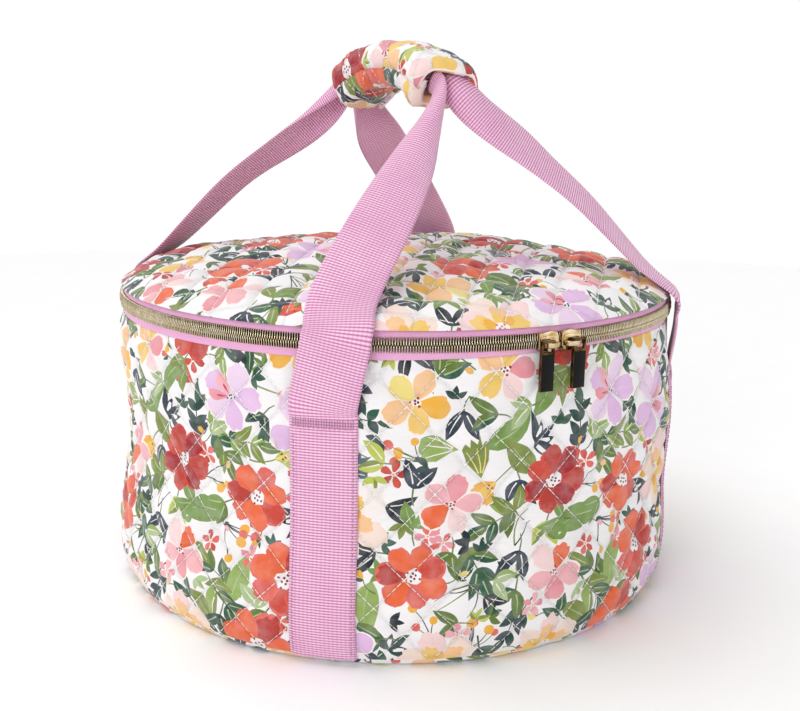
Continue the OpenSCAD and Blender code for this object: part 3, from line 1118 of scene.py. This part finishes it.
def lid_fabric():
    sheet = round_sheet(LID_FLAT + math.pi / 2 + 0.5, BAG_R, 320)
    folds = [circle(LID_FLAT + past, BAG_R, 320, 0.5) for past in (-2.5, -1, 0, 0.5, 1.05, 1.57)]
    points, tris, colours = printed_sheet(5, sheet, 3.6, [ring + ring[:1] for ring in folds])
    verts = [lid_point(p.x - BAG_R, p.y - BAG_R) for p in points]
    quilted("lid_quilted_fabric", verts, tris, "lid", ("lid_outer",), points, colours)


def lid_quilting():
    verts, faces = [], []
    for sign in (1, -1):
        for k in range(-14, 28):
            line = [(k * QUILT + sign * y - BAG_R, y - BAG_R) for y in shares(2 * BAG_R, 120)]
            points = [lid_point(x, y) for x, y in line if math.hypot(x, y) < LID_FLAT - 2]
            if len(points) > 3:
                stitch_run(points, [Vector((0, 0, 1))] * len(points), verts, faces)
    make_piece("lid_quilting_thread", verts, faces, WHITE_THREAD, "lid")


def lid_inside():
    def under(x, y):
        """The lining's surface, the thickness of the wadding and cloth below the lid's top."""
        r = math.hypot(x, y)
        dome = lid_dome(r)
        loose = 0.8 * uneven(x / 40, y / 40, 4.0) * smooth((INSIDE_R - r) / 20)
        return LID_Z + 1.5 - 6.2 + dome + loose

    disc_piece("lid_lining_cloth", INSIDE_R + 0.4, under, LINING, "lid", ("lid_lining",), up=False)
    wadding = disc_piece(
        "lid_wadding_layer", INSIDE_R + 0.8, lambda x, y: under(x, y) + 2.2, WADDING, "lid",
        ("lid_wadding",),
    )
    low_z, high_z = low("lid_binding").z, high("lid_binding").z
    in_r, out_r = INSIDE_R + 0.5, TEETH_R - 1.25
    profile = [
        (in_r, low_z - 1.2), (in_r + 0.5, low_z - 1.8), (out_r - 0.5, low_z - 1.8), (out_r, low_z - 1.2),
        (out_r, high_z), (in_r, high_z),
    ]
    shell_of_revolution("lid_seam_binding", profile, 240, TAPE, "lid", ("lid_binding",))


# ---------------------------------------------------------------- zip


def tape(name, profile, body, replaces):
    """A zip tape bent round the bag; profile is its closed (radius, z) section."""
    steps = 360
    verts, cloth = [], []
    for turn in shares(2 * TAPE_HALF, steps):
        angle = turn - TAPE_HALF
        length = 0.0
        for k, (r, z) in enumerate(profile):
            if k:
                length += math.hypot(r - profile[k - 1][0], z - profile[k - 1][1])
            verts.append(around(angle, r, z))
            cloth.append((math.radians(angle) * BAG_R, length))
    columns = len(profile)
    faces = ring_faces(steps + 1, columns, flip=True)
    faces += [tuple(range(columns)), tuple(range(steps * columns, (steps + 1) * columns))[::-1]]
    make_piece(name, verts, faces, TAPE, body, replaces, cloth)


def zip_tapes():
    thick = 1.1
    low_z, high_z = low("zip_tape_lower").z, high("zip_tape_lower").z
    out = TEETH_R - 0.05
    swell, parts = 0.25, 5
    profile = [(out - thick, low_z), (out, low_z)]
    for k in range(1, parts):
        profile.append((out + swell * math.sin(math.pi * k / parts), low_z + (high_z - low_z) * k / parts))
    profile += [(out, high_z), (out - thick, high_z)]
    tape("zip_tape_lower_cloth", profile, "bag", ("zip_tape_lower",))
    low_z, high_z = low("zip_tape_upper").z, high("zip_tape_upper").z + 1.9
    profile = [(out - thick, low_z), (out, low_z), (out + 0.15, low_z + 2)]
    profile += [(out, high_z), (out - thick, high_z)]
    tape("zip_tape_upper_cloth", profile, "lid", ("zip_tape_upper",))


def zip_row(name, body, replaced, inner_z, outer_z, phase):
    """One row of teeth: rounded metal loops that start at the middle of the chain and end on the tape."""
    pitch = 1.3
    count = round(math.radians(2 * ZIP_HALF) * BAG_R / pitch)
    verts, faces = [], []
    deep = high("zip_teeth_lower").x - TEETH_R
    rise = outer_z - inner_z
    reach = inner_z - math.copysign(0.75, rise)
    # along the tooth: place from the middle outwards, half width along the zip, and depth at crown and base
    stations = (
        (0.0, 0.26, 0.70), (0.08, 0.46, 0.96), (0.24, 0.50, 1.0), (0.42, 0.38, 0.84), (0.9, 0.36, 0.80),
        (1.0, 0.22, 0.5),
    )
    for i in range(count):
        angle = -ZIP_HALF + 2 * ZIP_HALF * (i + phase) / count
        first = len(verts)
        for f, half, fat in stations:
            z = lerp(reach, outer_z, f)
            for across, out in ((-1.0, 0.12), (-0.75, 0.72), (0.0, 1.0), (0.75, 0.72), (1.0, 0.12)):
                a = angle + math.degrees(half * across / BAG_R)
                verts.append(around(a, TEETH_R - 0.1 + deep * out * fat, z))
        columns = 5
        last = len(stations) - 1
        up = rise > 0
        for j in range(last):
            for k in range(columns - 1):
                a = first + j * columns + k
                quad = (a, a + 1, a + 1 + columns, a + columns)
                faces.append(quad if up else quad[::-1])
        for j, flip in ((0, not up), (last, up)):
            cap = tuple(first + j * columns + k for k in range(columns))
            faces.append(cap if flip else cap[::-1])
    make_piece(name, verts, faces, TEETH, body, (replaced,))


def zip_stops():
    verts, faces = [], []
    low_z, high_z = low("zip_end_stops").z, high("zip_end_stops").z
    for sign in (-1, 1):
        a = sign * (ZIP_HALF + 1.2)
        first = len(verts)
        for z in (low_z, high_z):
            for off, r in ((-0.55, TEETH_R), (0.55, TEETH_R), (0.55, TEETH_R + 2.4), (-0.55, TEETH_R + 2.4)):
                verts.append(around(a + off, r, z))
        faces += [tuple(first + i for i in f) for f in (
            (3, 2, 1, 0), (4, 5, 6, 7), (0, 1, 5, 4), (1, 2, 6, 5), (2, 3, 7, 6), (3, 0, 4, 7))]
    piece = make_piece("zip_end_stop_pair", verts, faces, GOLD, "bag", ("zip_end_stops",))
    bevelled(piece, 0.3)


def hinge_strip():
    """The fabric hinge between the zip's two ends: one strip from the wall's top up to the lid."""
    z0, z1 = WALL_TOP - 2.5, LID_Z + 1.0
    width, height = 2 * (math.radians(HINGE_HALF) * BAG_R), z1 - z0
    sheet = rectangle(shares(width, 30), [0.0, height / 2, height])
    points, tris, colours = printed_sheet(41, sheet, 1.6)
    thick = 1.3
    verts = [
        around(180 - HINGE_HALF + 2 * HINGE_HALF * p.x / width, r, z0 + p.y)
        for r in (BAG_R - 0.7, BAG_R - 0.7 - thick) for p in points
    ]
    faces, rim = two_sided(tris, len(points))
    inks = colours + [INK["cream"]] * (len(tris) + len(rim))
    piece = make_piece(
        "hinge_fabric", verts, faces + rim, PRINT, None,
        ("hinge_panel_lower", "hinge_panel_upper"), points * 2, inks,
    )
    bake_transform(piece)


# ---------------------------------------------------------------- sliders and pulls


def pin_of(side):
    """Where a pull turns: the middle of its pin, and the slider's angle round the bag."""
    joint = next(j for j in frame["record"]["behaviour"]["joints"] if j["name"] == f"pull_{side}_swing")
    pin = Vector(joint["pos_m"]) / MM
    middle = (low(f"slider_{side}_body") + high(f"slider_{side}_body")) / 2
    return pin, math.degrees(math.atan2(middle.x, -middle.y))


def local_to_bag(angle, points, z_middle):
    """Points with x along the zip, y outwards from the teeth's face and z up, placed round the bag."""
    turn = Matrix.Rotation(math.radians(angle), 3, "Z")
    return [turn @ Vector((p[0], -(TEETH_R + p[1]), p[2] + z_middle)) for p in points]


def slab(outline, y0, y1):
    """A plate: an (x, z) outline given depth in y."""
    n = len(outline)
    verts = [(x, y0, z) for x, z in outline] + [(x, y1, z) for x, z in outline]
    faces = [tuple(range(n)), tuple(range(2 * n - 1, n - 1, -1))]
    faces += [(i, i + n, (i + 1) % n + n, (i + 1) % n) for i in range(n)]
    return verts, faces


def slider(side, sign):
    """sign points from the slider's nose to its tail, along +x."""
    pin, angle = pin_of(side)
    body, slot = f"slider_{side}", "gold_metal"
    half, front = 5.75, 2.95
    outline = [
        (-half, 2.2), (-half + 1.2, 4.6), (-1.0, 5.3), (3.0, 4.5), (half - 0.6, 4.3), (half, 3.6),
        (half, -3.6), (half - 0.6, -4.3), (3.0, -4.5), (-1.0, -5.3), (-half + 1.2, -4.6), (-half, -2.2),
    ]
    rail = [(-half * 0.9, -5.0), (half * 0.9, -4.4), (half * 0.9, -3.95), (-half * 0.9, -4.35)]
    if sign < 0:
        outline, rail = ([(-x, z) for x, z in pts][::-1] for pts in (outline, rail))
    verts, faces = [], []

    def join(part):
        first = len(verts)
        verts.extend(part[0])
        faces.extend(tuple(i + first for i in f) for f in part[1])

    join(slab([(x * 0.98, z) for x, z in outline], front, front + 1.5))
    join(slab([(x * 0.86, z * 0.62) for x, z in outline], front + 1.3, front + 2.0))
    join(slab([(x * 0.96, z * 0.78) for x, z in outline], -2.6, -1.4))
    join(slab(rail, 0.5, front + 0.1))
    post_x = -sign * half * 0.78
    post = [(post_x - 0.9, -0.35), (post_x + 0.9, -0.35), (post_x + 0.9, 0.35), (post_x - 0.9, 0.35)]
    join(slab(post, -1.6, front + 0.1))
    placed = local_to_bag(angle, verts, CHAIN_Z)
    piece = make_piece(f"slider_{side}_shell", placed, faces, GOLD, body, (f"slider_{side}_body",))
    bevelled(piece, 0.34, 3)

    # crown: a flat bridge along the zip; its tail leg passes through the slot of the pull
    flat = Matrix.Rotation(-math.radians(angle), 3, "Z") @ pin
    out, leg_x = flat.y * -1 - TEETH_R, flat.x
    base = front + 1.6
    path = [
        (leg_x - sign * back, y) for back, y in (
            (0.0, base - 0.6), (0.0, out - 0.6), (0.5, out + 0.7), (1.6, out + 1.25),
            (4.2, out + 1.0), (6.4, out + 0.1), (7.3, base - 0.6),
        )
    ]
    z_pin = pin.z - CHAIN_Z
    ring = [(-0.62, -1.25), (0.62, -1.25), (0.62, 1.25), (-0.62, 1.25)]
    verts = []
    for i, (x, y) in enumerate(path):
        a, b = Vector(path[max(i - 1, 0)]), Vector(path[min(i + 1, len(path) - 1)])
        d = (b - a).normalized()
        for across, z in ring:
            verts.append((x - d.y * across, y + d.x * across, z_pin + z))
    faces = ring_faces(len(path), 4)
    faces += [(3, 2, 1, 0), tuple(range(len(verts) - 4, len(verts)))]
    placed = local_to_bag(angle, verts, CHAIN_Z)
    crown = make_piece(f"slider_{side}_bridge", placed, faces, GOLD, body, (f"slider_{side}_crown",))
    bevelled(crown, 0.3, 3)


def plate_with_holes(width, z_low, z_high, holes, y0, y1):
    """A rectangular plate with rectangular holes, as a grid of cells; holes are (x half, z low, z high)."""
    xs = sorted({-width / 2, width / 2} | {s * h[0] for h in holes for s in (-1, 1)})
    zs = sorted({z_low, z_high} | {h[1] for h in holes} | {h[2] for h in holes})
    index, verts, faces = {}, [], []

    def vert(i, j, side):
        key = (i, j, side)
        if key not in index:
            index[key] = len(verts)
            verts.append((xs[i], (y0, y1)[side], zs[j]))
        return index[key]

    def solid(i, j):
        if not (0 <= i < len(xs) - 1 and 0 <= j < len(zs) - 1):
            return False
        x, z = (xs[i] + xs[i + 1]) / 2, (zs[j] + zs[j + 1]) / 2
        return not any(abs(x) < h[0] and h[1] < z < h[2] for h in holes)

    for i in range(len(xs) - 1):
        for j in range(len(zs) - 1):
            if not solid(i, j):
                continue
            corners = ((i, j), (i + 1, j), (i + 1, j + 1), (i, j + 1))
            faces.append(tuple(vert(a, b, 0) for a, b in corners))
            faces.append(tuple(vert(a, b, 1) for a, b in reversed(corners)))
            for (a, b), (c, d), (ni, nj) in zip(
                corners, corners[1:] + corners[:1], ((i, j - 1), (i + 1, j), (i, j + 1), (i - 1, j))
            ):
                if not solid(ni, nj):
                    faces.append((vert(c, d, 0), vert(a, b, 0), vert(a, b, 1), vert(c, d, 1)))
    return verts, faces


def pull(side):
    """A gold frame with a slot for the bridge's leg, and the dark inlay in its window."""
    pin, angle = pin_of(side)
    tab_low = low(f"pull_{side}_frame").z - pin.z
    flat = Matrix.Rotation(-math.radians(angle), 3, "Z") @ pin
    width, thick = 7.6, 1.9
    slot_hole, window = (2.75, -3.1, 1.15), (3.55, tab_low + 0.25, -4.4)
    inlay = [(-3.53, tab_low + 0.27), (3.53, tab_low + 0.27), (3.53, -4.42), (-3.53, -4.42)]
    frame_plate = plate_with_holes(width, tab_low, 2.5, (slot_hole, window), -thick / 2, thick / 2)
    for (verts, faces), name, node, material, slot, bevel, segments in (
        (frame_plate, "tab", "frame", SHADED_GOLD, "gold_metal", 0.32, 3),
        (slab(inlay, -0.93, 0.93), "enamel", "inlay", ENAMEL, "black_enamel", 0.15, 2),
    ):
        placed = local_to_bag(angle, [(x + flat.x, y - flat.y - TEETH_R, z) for x, y, z in verts], pin.z)
        replaced = (f"pull_{side}_{node}",)
        piece = make_piece(f"pull_{side}_{name}", placed, faces, material, f"pull_{side}", replaced)
        bevelled(piece, bevel, segments)


# ---------------------------------------------------------------- webbing

# The free strap's middle line, as in the CAD model: [radius, lean, height] on the wall, then [x, y, z]
WALL_RUN = ((163.6, 0.05, 134.5), (165.0, 1.1, 149.0), (165.4, 2.0, 161.0), (164.4, 2.6, 171.6))
FREE_RUN = (
    (98, 107, 187), (66, 92, 222), (40, 77, 247), (22, 66, 265), (11, 57, 277), (6.6, 50, 283.6),
    (6, 44, 286.8),
)
TAIL_HEIGHTS = (4.0, 15.0, 28.0, 42.0, 56.0, 70.0, 84.0, 98.0, 110.0, 120.0, 127.0)


def catmull(points, steps):
    ends = [2 * points[0] - points[1]] + list(points) + [2 * points[-1] - points[-2]]
    out = []
    for i in range(len(points) - 1):
        a, b, c, d = ends[i:i + 4]
        for k in range(steps):
            t = k / steps
            out.append(0.5 * (
                2 * b + (c - a) * t + (2 * a - 5 * b + 4 * c - d) * t * t + (3 * b - a - 3 * c + d) * t ** 3
            ))
    return out + [points[-1]]


def strap(name, sx, sy):
    """One strap from its sewn tail to the wrap. It lies round the wall, leans in, and curls at the wrap."""
    angle = sx * 45 if sy < 0 else sx * 135
    stand = STRAP_T / 2 + 0.1
    points = [around(angle, STRAP_R + belly(angle, z) + stand, z) for z in TAIL_HEIGHTS]
    tail_count = len(points)
    for r, lean, z in WALL_RUN:
        a = math.radians(45 - lean)
        points.append(Vector((sx * r * math.sin(a), sy * r * math.cos(a), z)))
    points += [Vector((sx * x, sy * y, z)) for x, y, z in FREE_RUN]
    steps = 7
    line = catmull(points, steps)
    last = len(line) - 1
    free_from = (tail_count - 1) * steps
    on_wall = Vector((1, -sx * sy, 0)).normalized() * -sy
    towards = Vector((-sy, 0, 0))
    # how far the strap curls by the wrap, in degrees, where that begins and ends along its free run,
    # and how flat the curl is pressed
    full, onset, closed, narrow = {
        "front_left": (250, 0.5, 0.97, 0.76), "front_right": (215, 0.62, 0.97, 0.0),
    }.get(name, (290, 0.55, 0.95, 0.15))
    columns = 15
    verts, cloth = [], []
    travelled = 0.0
    for i, p in enumerate(line):
        if i:
            travelled += (p - line[i - 1]).length
        along = (line[min(i + 1, last)] - line[max(i - 1, 0)]).normalized()
        free = max(0.0, (i - free_from) / (last - free_from))
        turn = smooth((free - 0.3) / 0.6)
        across = on_wall * (1 - turn) + towards * turn
        across = (across - along * across.dot(along)).normalized()
        out = across.cross(along).normalized()
        curl = lerp(math.degrees(STRAP_W / BAG_R), 2.0, smooth(free * 5))
        curl += full * smooth((free - onset) / (closed - onset))
        pinch = 1 - narrow * smooth((free - 0.44) / 0.48)
        bend = math.radians(curl) / STRAP_W
        for side in (1, -1):
            for k in range(columns):
                u = (k / (columns - 1) * 2 - 1) * side
                w = u * STRAP_W / 2
                phi = w * bend
                edge = 1 - 0.75 * abs(u) ** 14
                half = side * STRAP_T / 2 * edge
                flat_x = math.sin(phi) / bend * pinch
                drop = (1 - math.cos(phi)) / bend
                centre = (1 - math.cos(math.radians(curl) / 2)) / bend / 2
                drop -= centre * smooth((free - 0.6) / 0.3)
                normal = across * math.sin(phi) + out * math.cos(phi)
                verts.append(p + across * flat_x - out * drop + normal * half)
                cloth.append((w, travelled))
    ring = 2 * columns
    faces = ring_faces(len(line), ring)
    faces += [tuple(range(ring))[::-1], tuple(range(len(verts) - ring, len(verts)))]
    piece = make_piece(
        f"webbing_{name}", verts, faces, WEBBING, None,
        (f"strap_{name}", f"strap_tail_{name}"), cloth,
    )
    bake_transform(piece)


def tack_stitches():
    """The box of thread that fixes each strap's tail to the wall."""
    verts, faces = [], []
    for angle in STRAP_ANGLES:
        half = math.degrees((STRAP_W / 2 - 2.2) / BAG_R)
        top, bottom = TACK_Z - 1.2, TACK_Z - 6.5

        def on_strap(a, z):
            return around(a, STRAP_R + belly(angle, z) + STRAP_T + 0.28, z)

        for i in range(24):
            a = angle + half * (2 * i / 23 - 1)
            row = [on_strap(a, z) for z in (bottom + 0.5 * (i % 2), top + 0.5 * (i % 2))]
            length = (row[1] - row[0]).length
            stitch_run(row, [around(a, 1.0, 0.0)] * 2, verts, faces, length - 0.2, 0.1, 0.26)
        for s in (-1, 1):
            row = [(angle + s * half, lerp(7.0, bottom - 1, i / 30)) for i in range(31)]
            points, normals = [on_strap(a, z) for a, z in row], [around(a, 1.0, 0.0) for a, _ in row]
            stitch_run(points, normals, verts, faces, 2.3, 0.6, 0.22)
    make_piece(
        "strap_tack_thread", verts, faces, PINK_THREAD, "bag", ("strap_tack_stitches",)
    )


# ---------------------------------------------------------------- grips and wrap

# the wrap's arch: radius, half angle in degrees, and height of its middle line
ARCH_R = 105.0
ARCH_HALF = 26.0
WRAP_Z = 296.5


def arch_point(t, u, w):
    """A place in the wrap: t degrees along its arch, u across and w above the arch's middle line."""
    a = math.radians(t)
    return Vector((u, -(ARCH_R + w) * math.sin(a), WRAP_Z - ARCH_R + (ARCH_R + w) * math.cos(a)))


def grip(side, sign, body):
    """Webbing folded in three and carried through the wrap."""
    layer, gap = STRAP_T, 0.35
    lo, hi = 0.4, 11.4
    steps = 40
    inner, outer = (lo, hi) if sign > 0 else (-hi, -lo)
    path = []
    for k in range(3):
        w = (k - 1) * (layer + gap)
        ends = (inner, outer) if k % 2 == 0 else (outer, inner)
        path += [(ends[0], w), (lerp(*ends, 0.5), w), (ends[1], w)]
    section = thickened(path, lambda i: layer / 2)
    verts, cloth = [], []
    for i in range(steps + 1):
        t = lerp(-ARCH_HALF + 1.5, ARCH_HALF - 1.5, i / steps)
        for k, (u, w) in enumerate(section):
            verts.append(arch_point(t, u, w))
            cloth.append((k * 2.0, math.radians(t) * ARCH_R))
    faces = ring_faces(steps + 1, len(section), flip=True)
    make_piece(f"grip_{side}_webbing", verts, faces, WEBBING, body, (f"grip_{side}",), cloth)


def wrap_section(path, s):
    """Point and outward normal at a share s of a rounded path in the (u, w) plane."""
    lengths = [0.0]
    for a, b in zip(path, path[1:]):
        lengths.append(lengths[-1] + (b - a).length)
    d = s * lengths[-1]
    i = 0
    while i < len(path) - 2 and lengths[i + 1] < d:
        i += 1
    k = (d - lengths[i]) / (lengths[i + 1] - lengths[i])
    p = path[i].lerp(path[i + 1], k)
    before = path[max(i - 1, 0)]
    after = path[min(i + 2, len(path) - 1)]
    along = (after - before).normalized()
    return p, Vector((-along.y, along.x))


def rounded_path(corners, radius, steps=6):
    """A path of straight runs with its corners rounded."""
    pts = [Vector(c) for c in corners]
    out = [pts[0]]
    for a, b, c in zip(pts, pts[1:], pts[2:]):
        r = min(radius, (b - a).length * 0.49, (c - b).length * 0.49)
        p, q = b + (a - b).normalized() * r, b + (c - b).normalized() * r
        for k in range(steps + 1):
            t = k / steps
            out.append((1 - t) ** 2 * p + 2 * t * (1 - t) * b + t * t * q)
    out.append(pts[-1])
    return [Vector((p.x, p.y)) for p in out]


def wrap_panel(name, corners, thick, seed, body, replaces, gather, skew=0.0):
    """A padded quilted panel folded along a path across the wrap and bent along its arch.

    gather is how deep its open end puckers, and skew how far that end runs out along the arch.
    """
    path = rounded_path(corners, 7.5)
    width = sum((b - a).length for a, b in zip(path, path[1:]))
    length = math.radians(2 * ARCH_HALF) * (ARCH_R + 6)
    points, tris, colours = printed_sheet(seed, rectangle(shares(width, 26), shares(length, 36)), 2.2)

    def place(p, depth):
        mid, normal = wrap_section(path, p.x / width)
        edge = min(p.x, width - p.x, p.y, length - p.y)
        round_off = math.sqrt(max(0.0, 1 - (1 - min(1.0, edge / (thick * 0.5))) ** 2))
        puff = quilt(p.x + 4, p.y + 9, 1.6) * smooth(edge / 6) + 0.5 * uneven(p.x / 9, p.y / 7, seed)
        open_end = 1 - 0.75 * smooth(p.y / length * 2.2)
        puff += gather * (uneven(p.x / 3.1, p.y / 24, seed + 5.0) * open_end)
        lift = (thick / 2) * (0.25 + 0.75 * round_off) * depth + (puff if depth > 0 else 0.0)
        t = lerp(ARCH_HALF, -ARCH_HALF - 2.5, p.y / length) * (1 + 0.035 * uneven(p.x / 11, seed, 2.0))
        front, back = smooth((t - 8) / 18), smooth((-t - 4) / 24)
        t += skew * front * smooth(p.x / width * 1.3)
        u, w = mid.x + normal.x * lift, mid.y + normal.y * lift
        spread = 1 + 0.2 * front * (1 - smooth((w + 4) / 12))
        droop = (4.2 * front + 3.0 * back) * smooth((2 - w) / 12)
        return arch_point(t, u * spread * (1 + 0.04 * back), w * (1 + 0.05 * back) - droop)

    verts = [place(p, depth) for depth in (1.0, -1.0) for p in points]
    faces, rim = two_sided(tris, len(points))
    inks = colours * 2 + [INK["cream"]] * len(rim)
    quilted(name, verts, faces + rim, body, replaces, points * 2, inks)

    verts, stitches = [], []
    for chain in quilt_lines(width, length, 2.0):
        inner_chain = [Vector((x, y)) for x, y in chain if 7 < x < width - 2 and 2 < y < length - 2]
        if len(inner_chain) > 3:
            lifted = [place(q, 1.0) for q in inner_chain]
            normals = [(place(q, 1.6) - p).normalized() for q, p in zip(inner_chain, lifted)]
            stitch_run(lifted, normals, verts, stitches, 2.8, 0.7, 0.26)
    make_piece(name + "_quilting", verts, stitches, WHITE_THREAD, body)


def strips():
    """The hook strip on the pad and the loop strip on the flap, face to face inside the wrap's lip."""
    for name, body in (("wrap_hook_strip", "handle_left"), ("wrap_loop_strip", "wrap_flap")):
        u = low(name).x
        verts, cloth = [], []
        for i in range(31):
            t = lerp(-ARCH_HALF + 3, ARCH_HALF - 3, i / 30)
            for du, w in ((0.0, -9.5), (0.5, -9.4), (0.5, -5.3), (0.0, -5.2)):
                verts.append(arch_point(t, u + du, w))
                cloth.append((w, t * 1.8))
        faces = ring_faces(31, 4, flip=True)
        make_piece(name + "_cloth", verts, faces, HOOK, body, (name,), cloth)


# ---------------------------------------------------------------- build

wall_fabric()
wall_quilting()
inner_layers()
base_fabric()
lid_fabric()
lid_quilting()
lid_inside()
zip_tapes()
zip_row("zip_teeth_lower_row", "bag", "zip_teeth_lower", TEETH_MID_LOW, TEETH_LOW, 0.0)
zip_row("zip_teeth_upper_row", "lid", "zip_teeth_upper", TEETH_MID_HIGH, TEETH_HIGH, 0.5)
zip_stops()
hinge_strip()
for side, sign in (("left", -1), ("right", 1)):
    slider(side, sign)
    pull(side)
for name, sx, sy, body in (
    ("front_left", -1, -1, "handle_left"), ("back_left", -1, 1, "handle_left"),
    ("front_right", 1, -1, "handle_right"), ("back_right", 1, 1, "handle_right"),
):
    strap(name, sx, sy)
tack_stitches()
grip("left", -1, "handle_left")
grip("right", 1, "handle_right")
PAD_PATH = ((10.0, -8.8), (-11.4, -8.9), (-11.8, 1.0))
FLAP_PATH = ((-13.9, -2.5), (-12.8, 9.6), (13.2, 9.6), (13.4, -11.5))
wrap_panel("wrap_pad_panel", PAD_PATH, 5.6, 61, "handle_left", ("wrap_pad",), 2.4)
wrap_panel("wrap_flap_panel", FLAP_PATH, 5.0, 67, "wrap_flap", ("wrap_flap",), 1.1, 5.5)
strips()

board = frame["nodes"]["base_board"]
board.data.materials.clear()
board.data.materials.append(BOARD)

# ---------------------------------------------------------------- studio


def studio():
    floor_mesh = bpy.data.meshes.new("studio_floor")
    radius, sides, below = 1.5, 64, -0.0003
    angles = [math.pi * i / (sides / 2) for i in range(sides)]
    rim = [(radius * math.cos(a), radius * math.sin(a), below) for a in angles]
    floor_mesh.from_pydata(rim, [], [tuple(range(sides))])
    floor_mesh.materials.append(studio_floor())
    add_object("studio_floor", floor_mesh)

    world = bpy.data.worlds.new("studio_world")
    bpy.context.scene.world = world
    world.use_nodes = True
    tree = world.node_tree
    sky = tree.nodes.new("ShaderNodeTexCoord")
    parts = tree.nodes.new("ShaderNodeSeparateXYZ")
    level = tree.nodes.new("ShaderNodeMapRange")
    # the sky is brighter near the horizon than overhead
    for socket, value in zip(level.inputs[1:], (0.20, 0.62, 1.04, 0.30)):
        socket.default_value = value
    tree.links.new(sky.outputs["Generated"], parts.inputs[0])
    tree.links.new(parts.outputs["Z"], level.inputs[0])
    tree.links.new(level.outputs[0], tree.nodes["Background"].inputs["Strength"])
    tree.nodes["Background"].inputs["Color"].default_value = (1.0, 1.0, 1.0, 1.0)

    for name, where, size, power in (
        ("key", (-1.35, -0.95, 0.75), 0.6, 5.8),
        ("fill", (0.6, -1.7, 0.8), 1.2, 2.0),
    ):
        light = bpy.data.lights.new(name, "AREA")
        light.energy = power
        light.size = size
        lamp = add_object(name, light)
        lamp.location = where
        lamp.rotation_euler = (Vector((0, 0, 0.15)) - Vector(where)).to_track_quat("-Z", "Y").to_euler()

    light = bpy.data.lights.new("overhead", "SUN")
    light.energy = 1.85
    light.angle = math.radians(70)
    add_object("overhead", light).rotation_euler = (math.radians(-16), math.radians(-14), 0)


def camera():
    """The photograph's viewpoint: left of the front and a little above the lid."""
    distance, eye, around_bag = 680, 275.6, -33
    yaw, pitch, roll = (math.radians(a) for a in (0.26, 12.59, -0.93))
    sensor, view_depth = 36, 1.4225  # view_depth is the focal length over the picture's width
    cam = bpy.data.cameras.new("camera")
    cam.sensor_width = sensor
    cam.lens = sensor * view_depth
    cam.clip_start = 0.01
    obj = add_object("camera", cam)
    spin = Matrix.Rotation(math.radians(around_bag), 4, "Z")
    aim = (
        Matrix.Translation((0, -distance * MM, eye * MM)) @ Matrix.Rotation(-yaw, 4, "Z")
        @ Matrix.Rotation(math.pi / 2 - pitch, 4, "X") @ Matrix.Rotation(-roll, 4, "Z")
    )
    obj.matrix_world = spin @ aim
    bpy.context.scene.camera = obj


studio()
camera()
bpy.context.scene.view_settings.view_transform = "Standard"
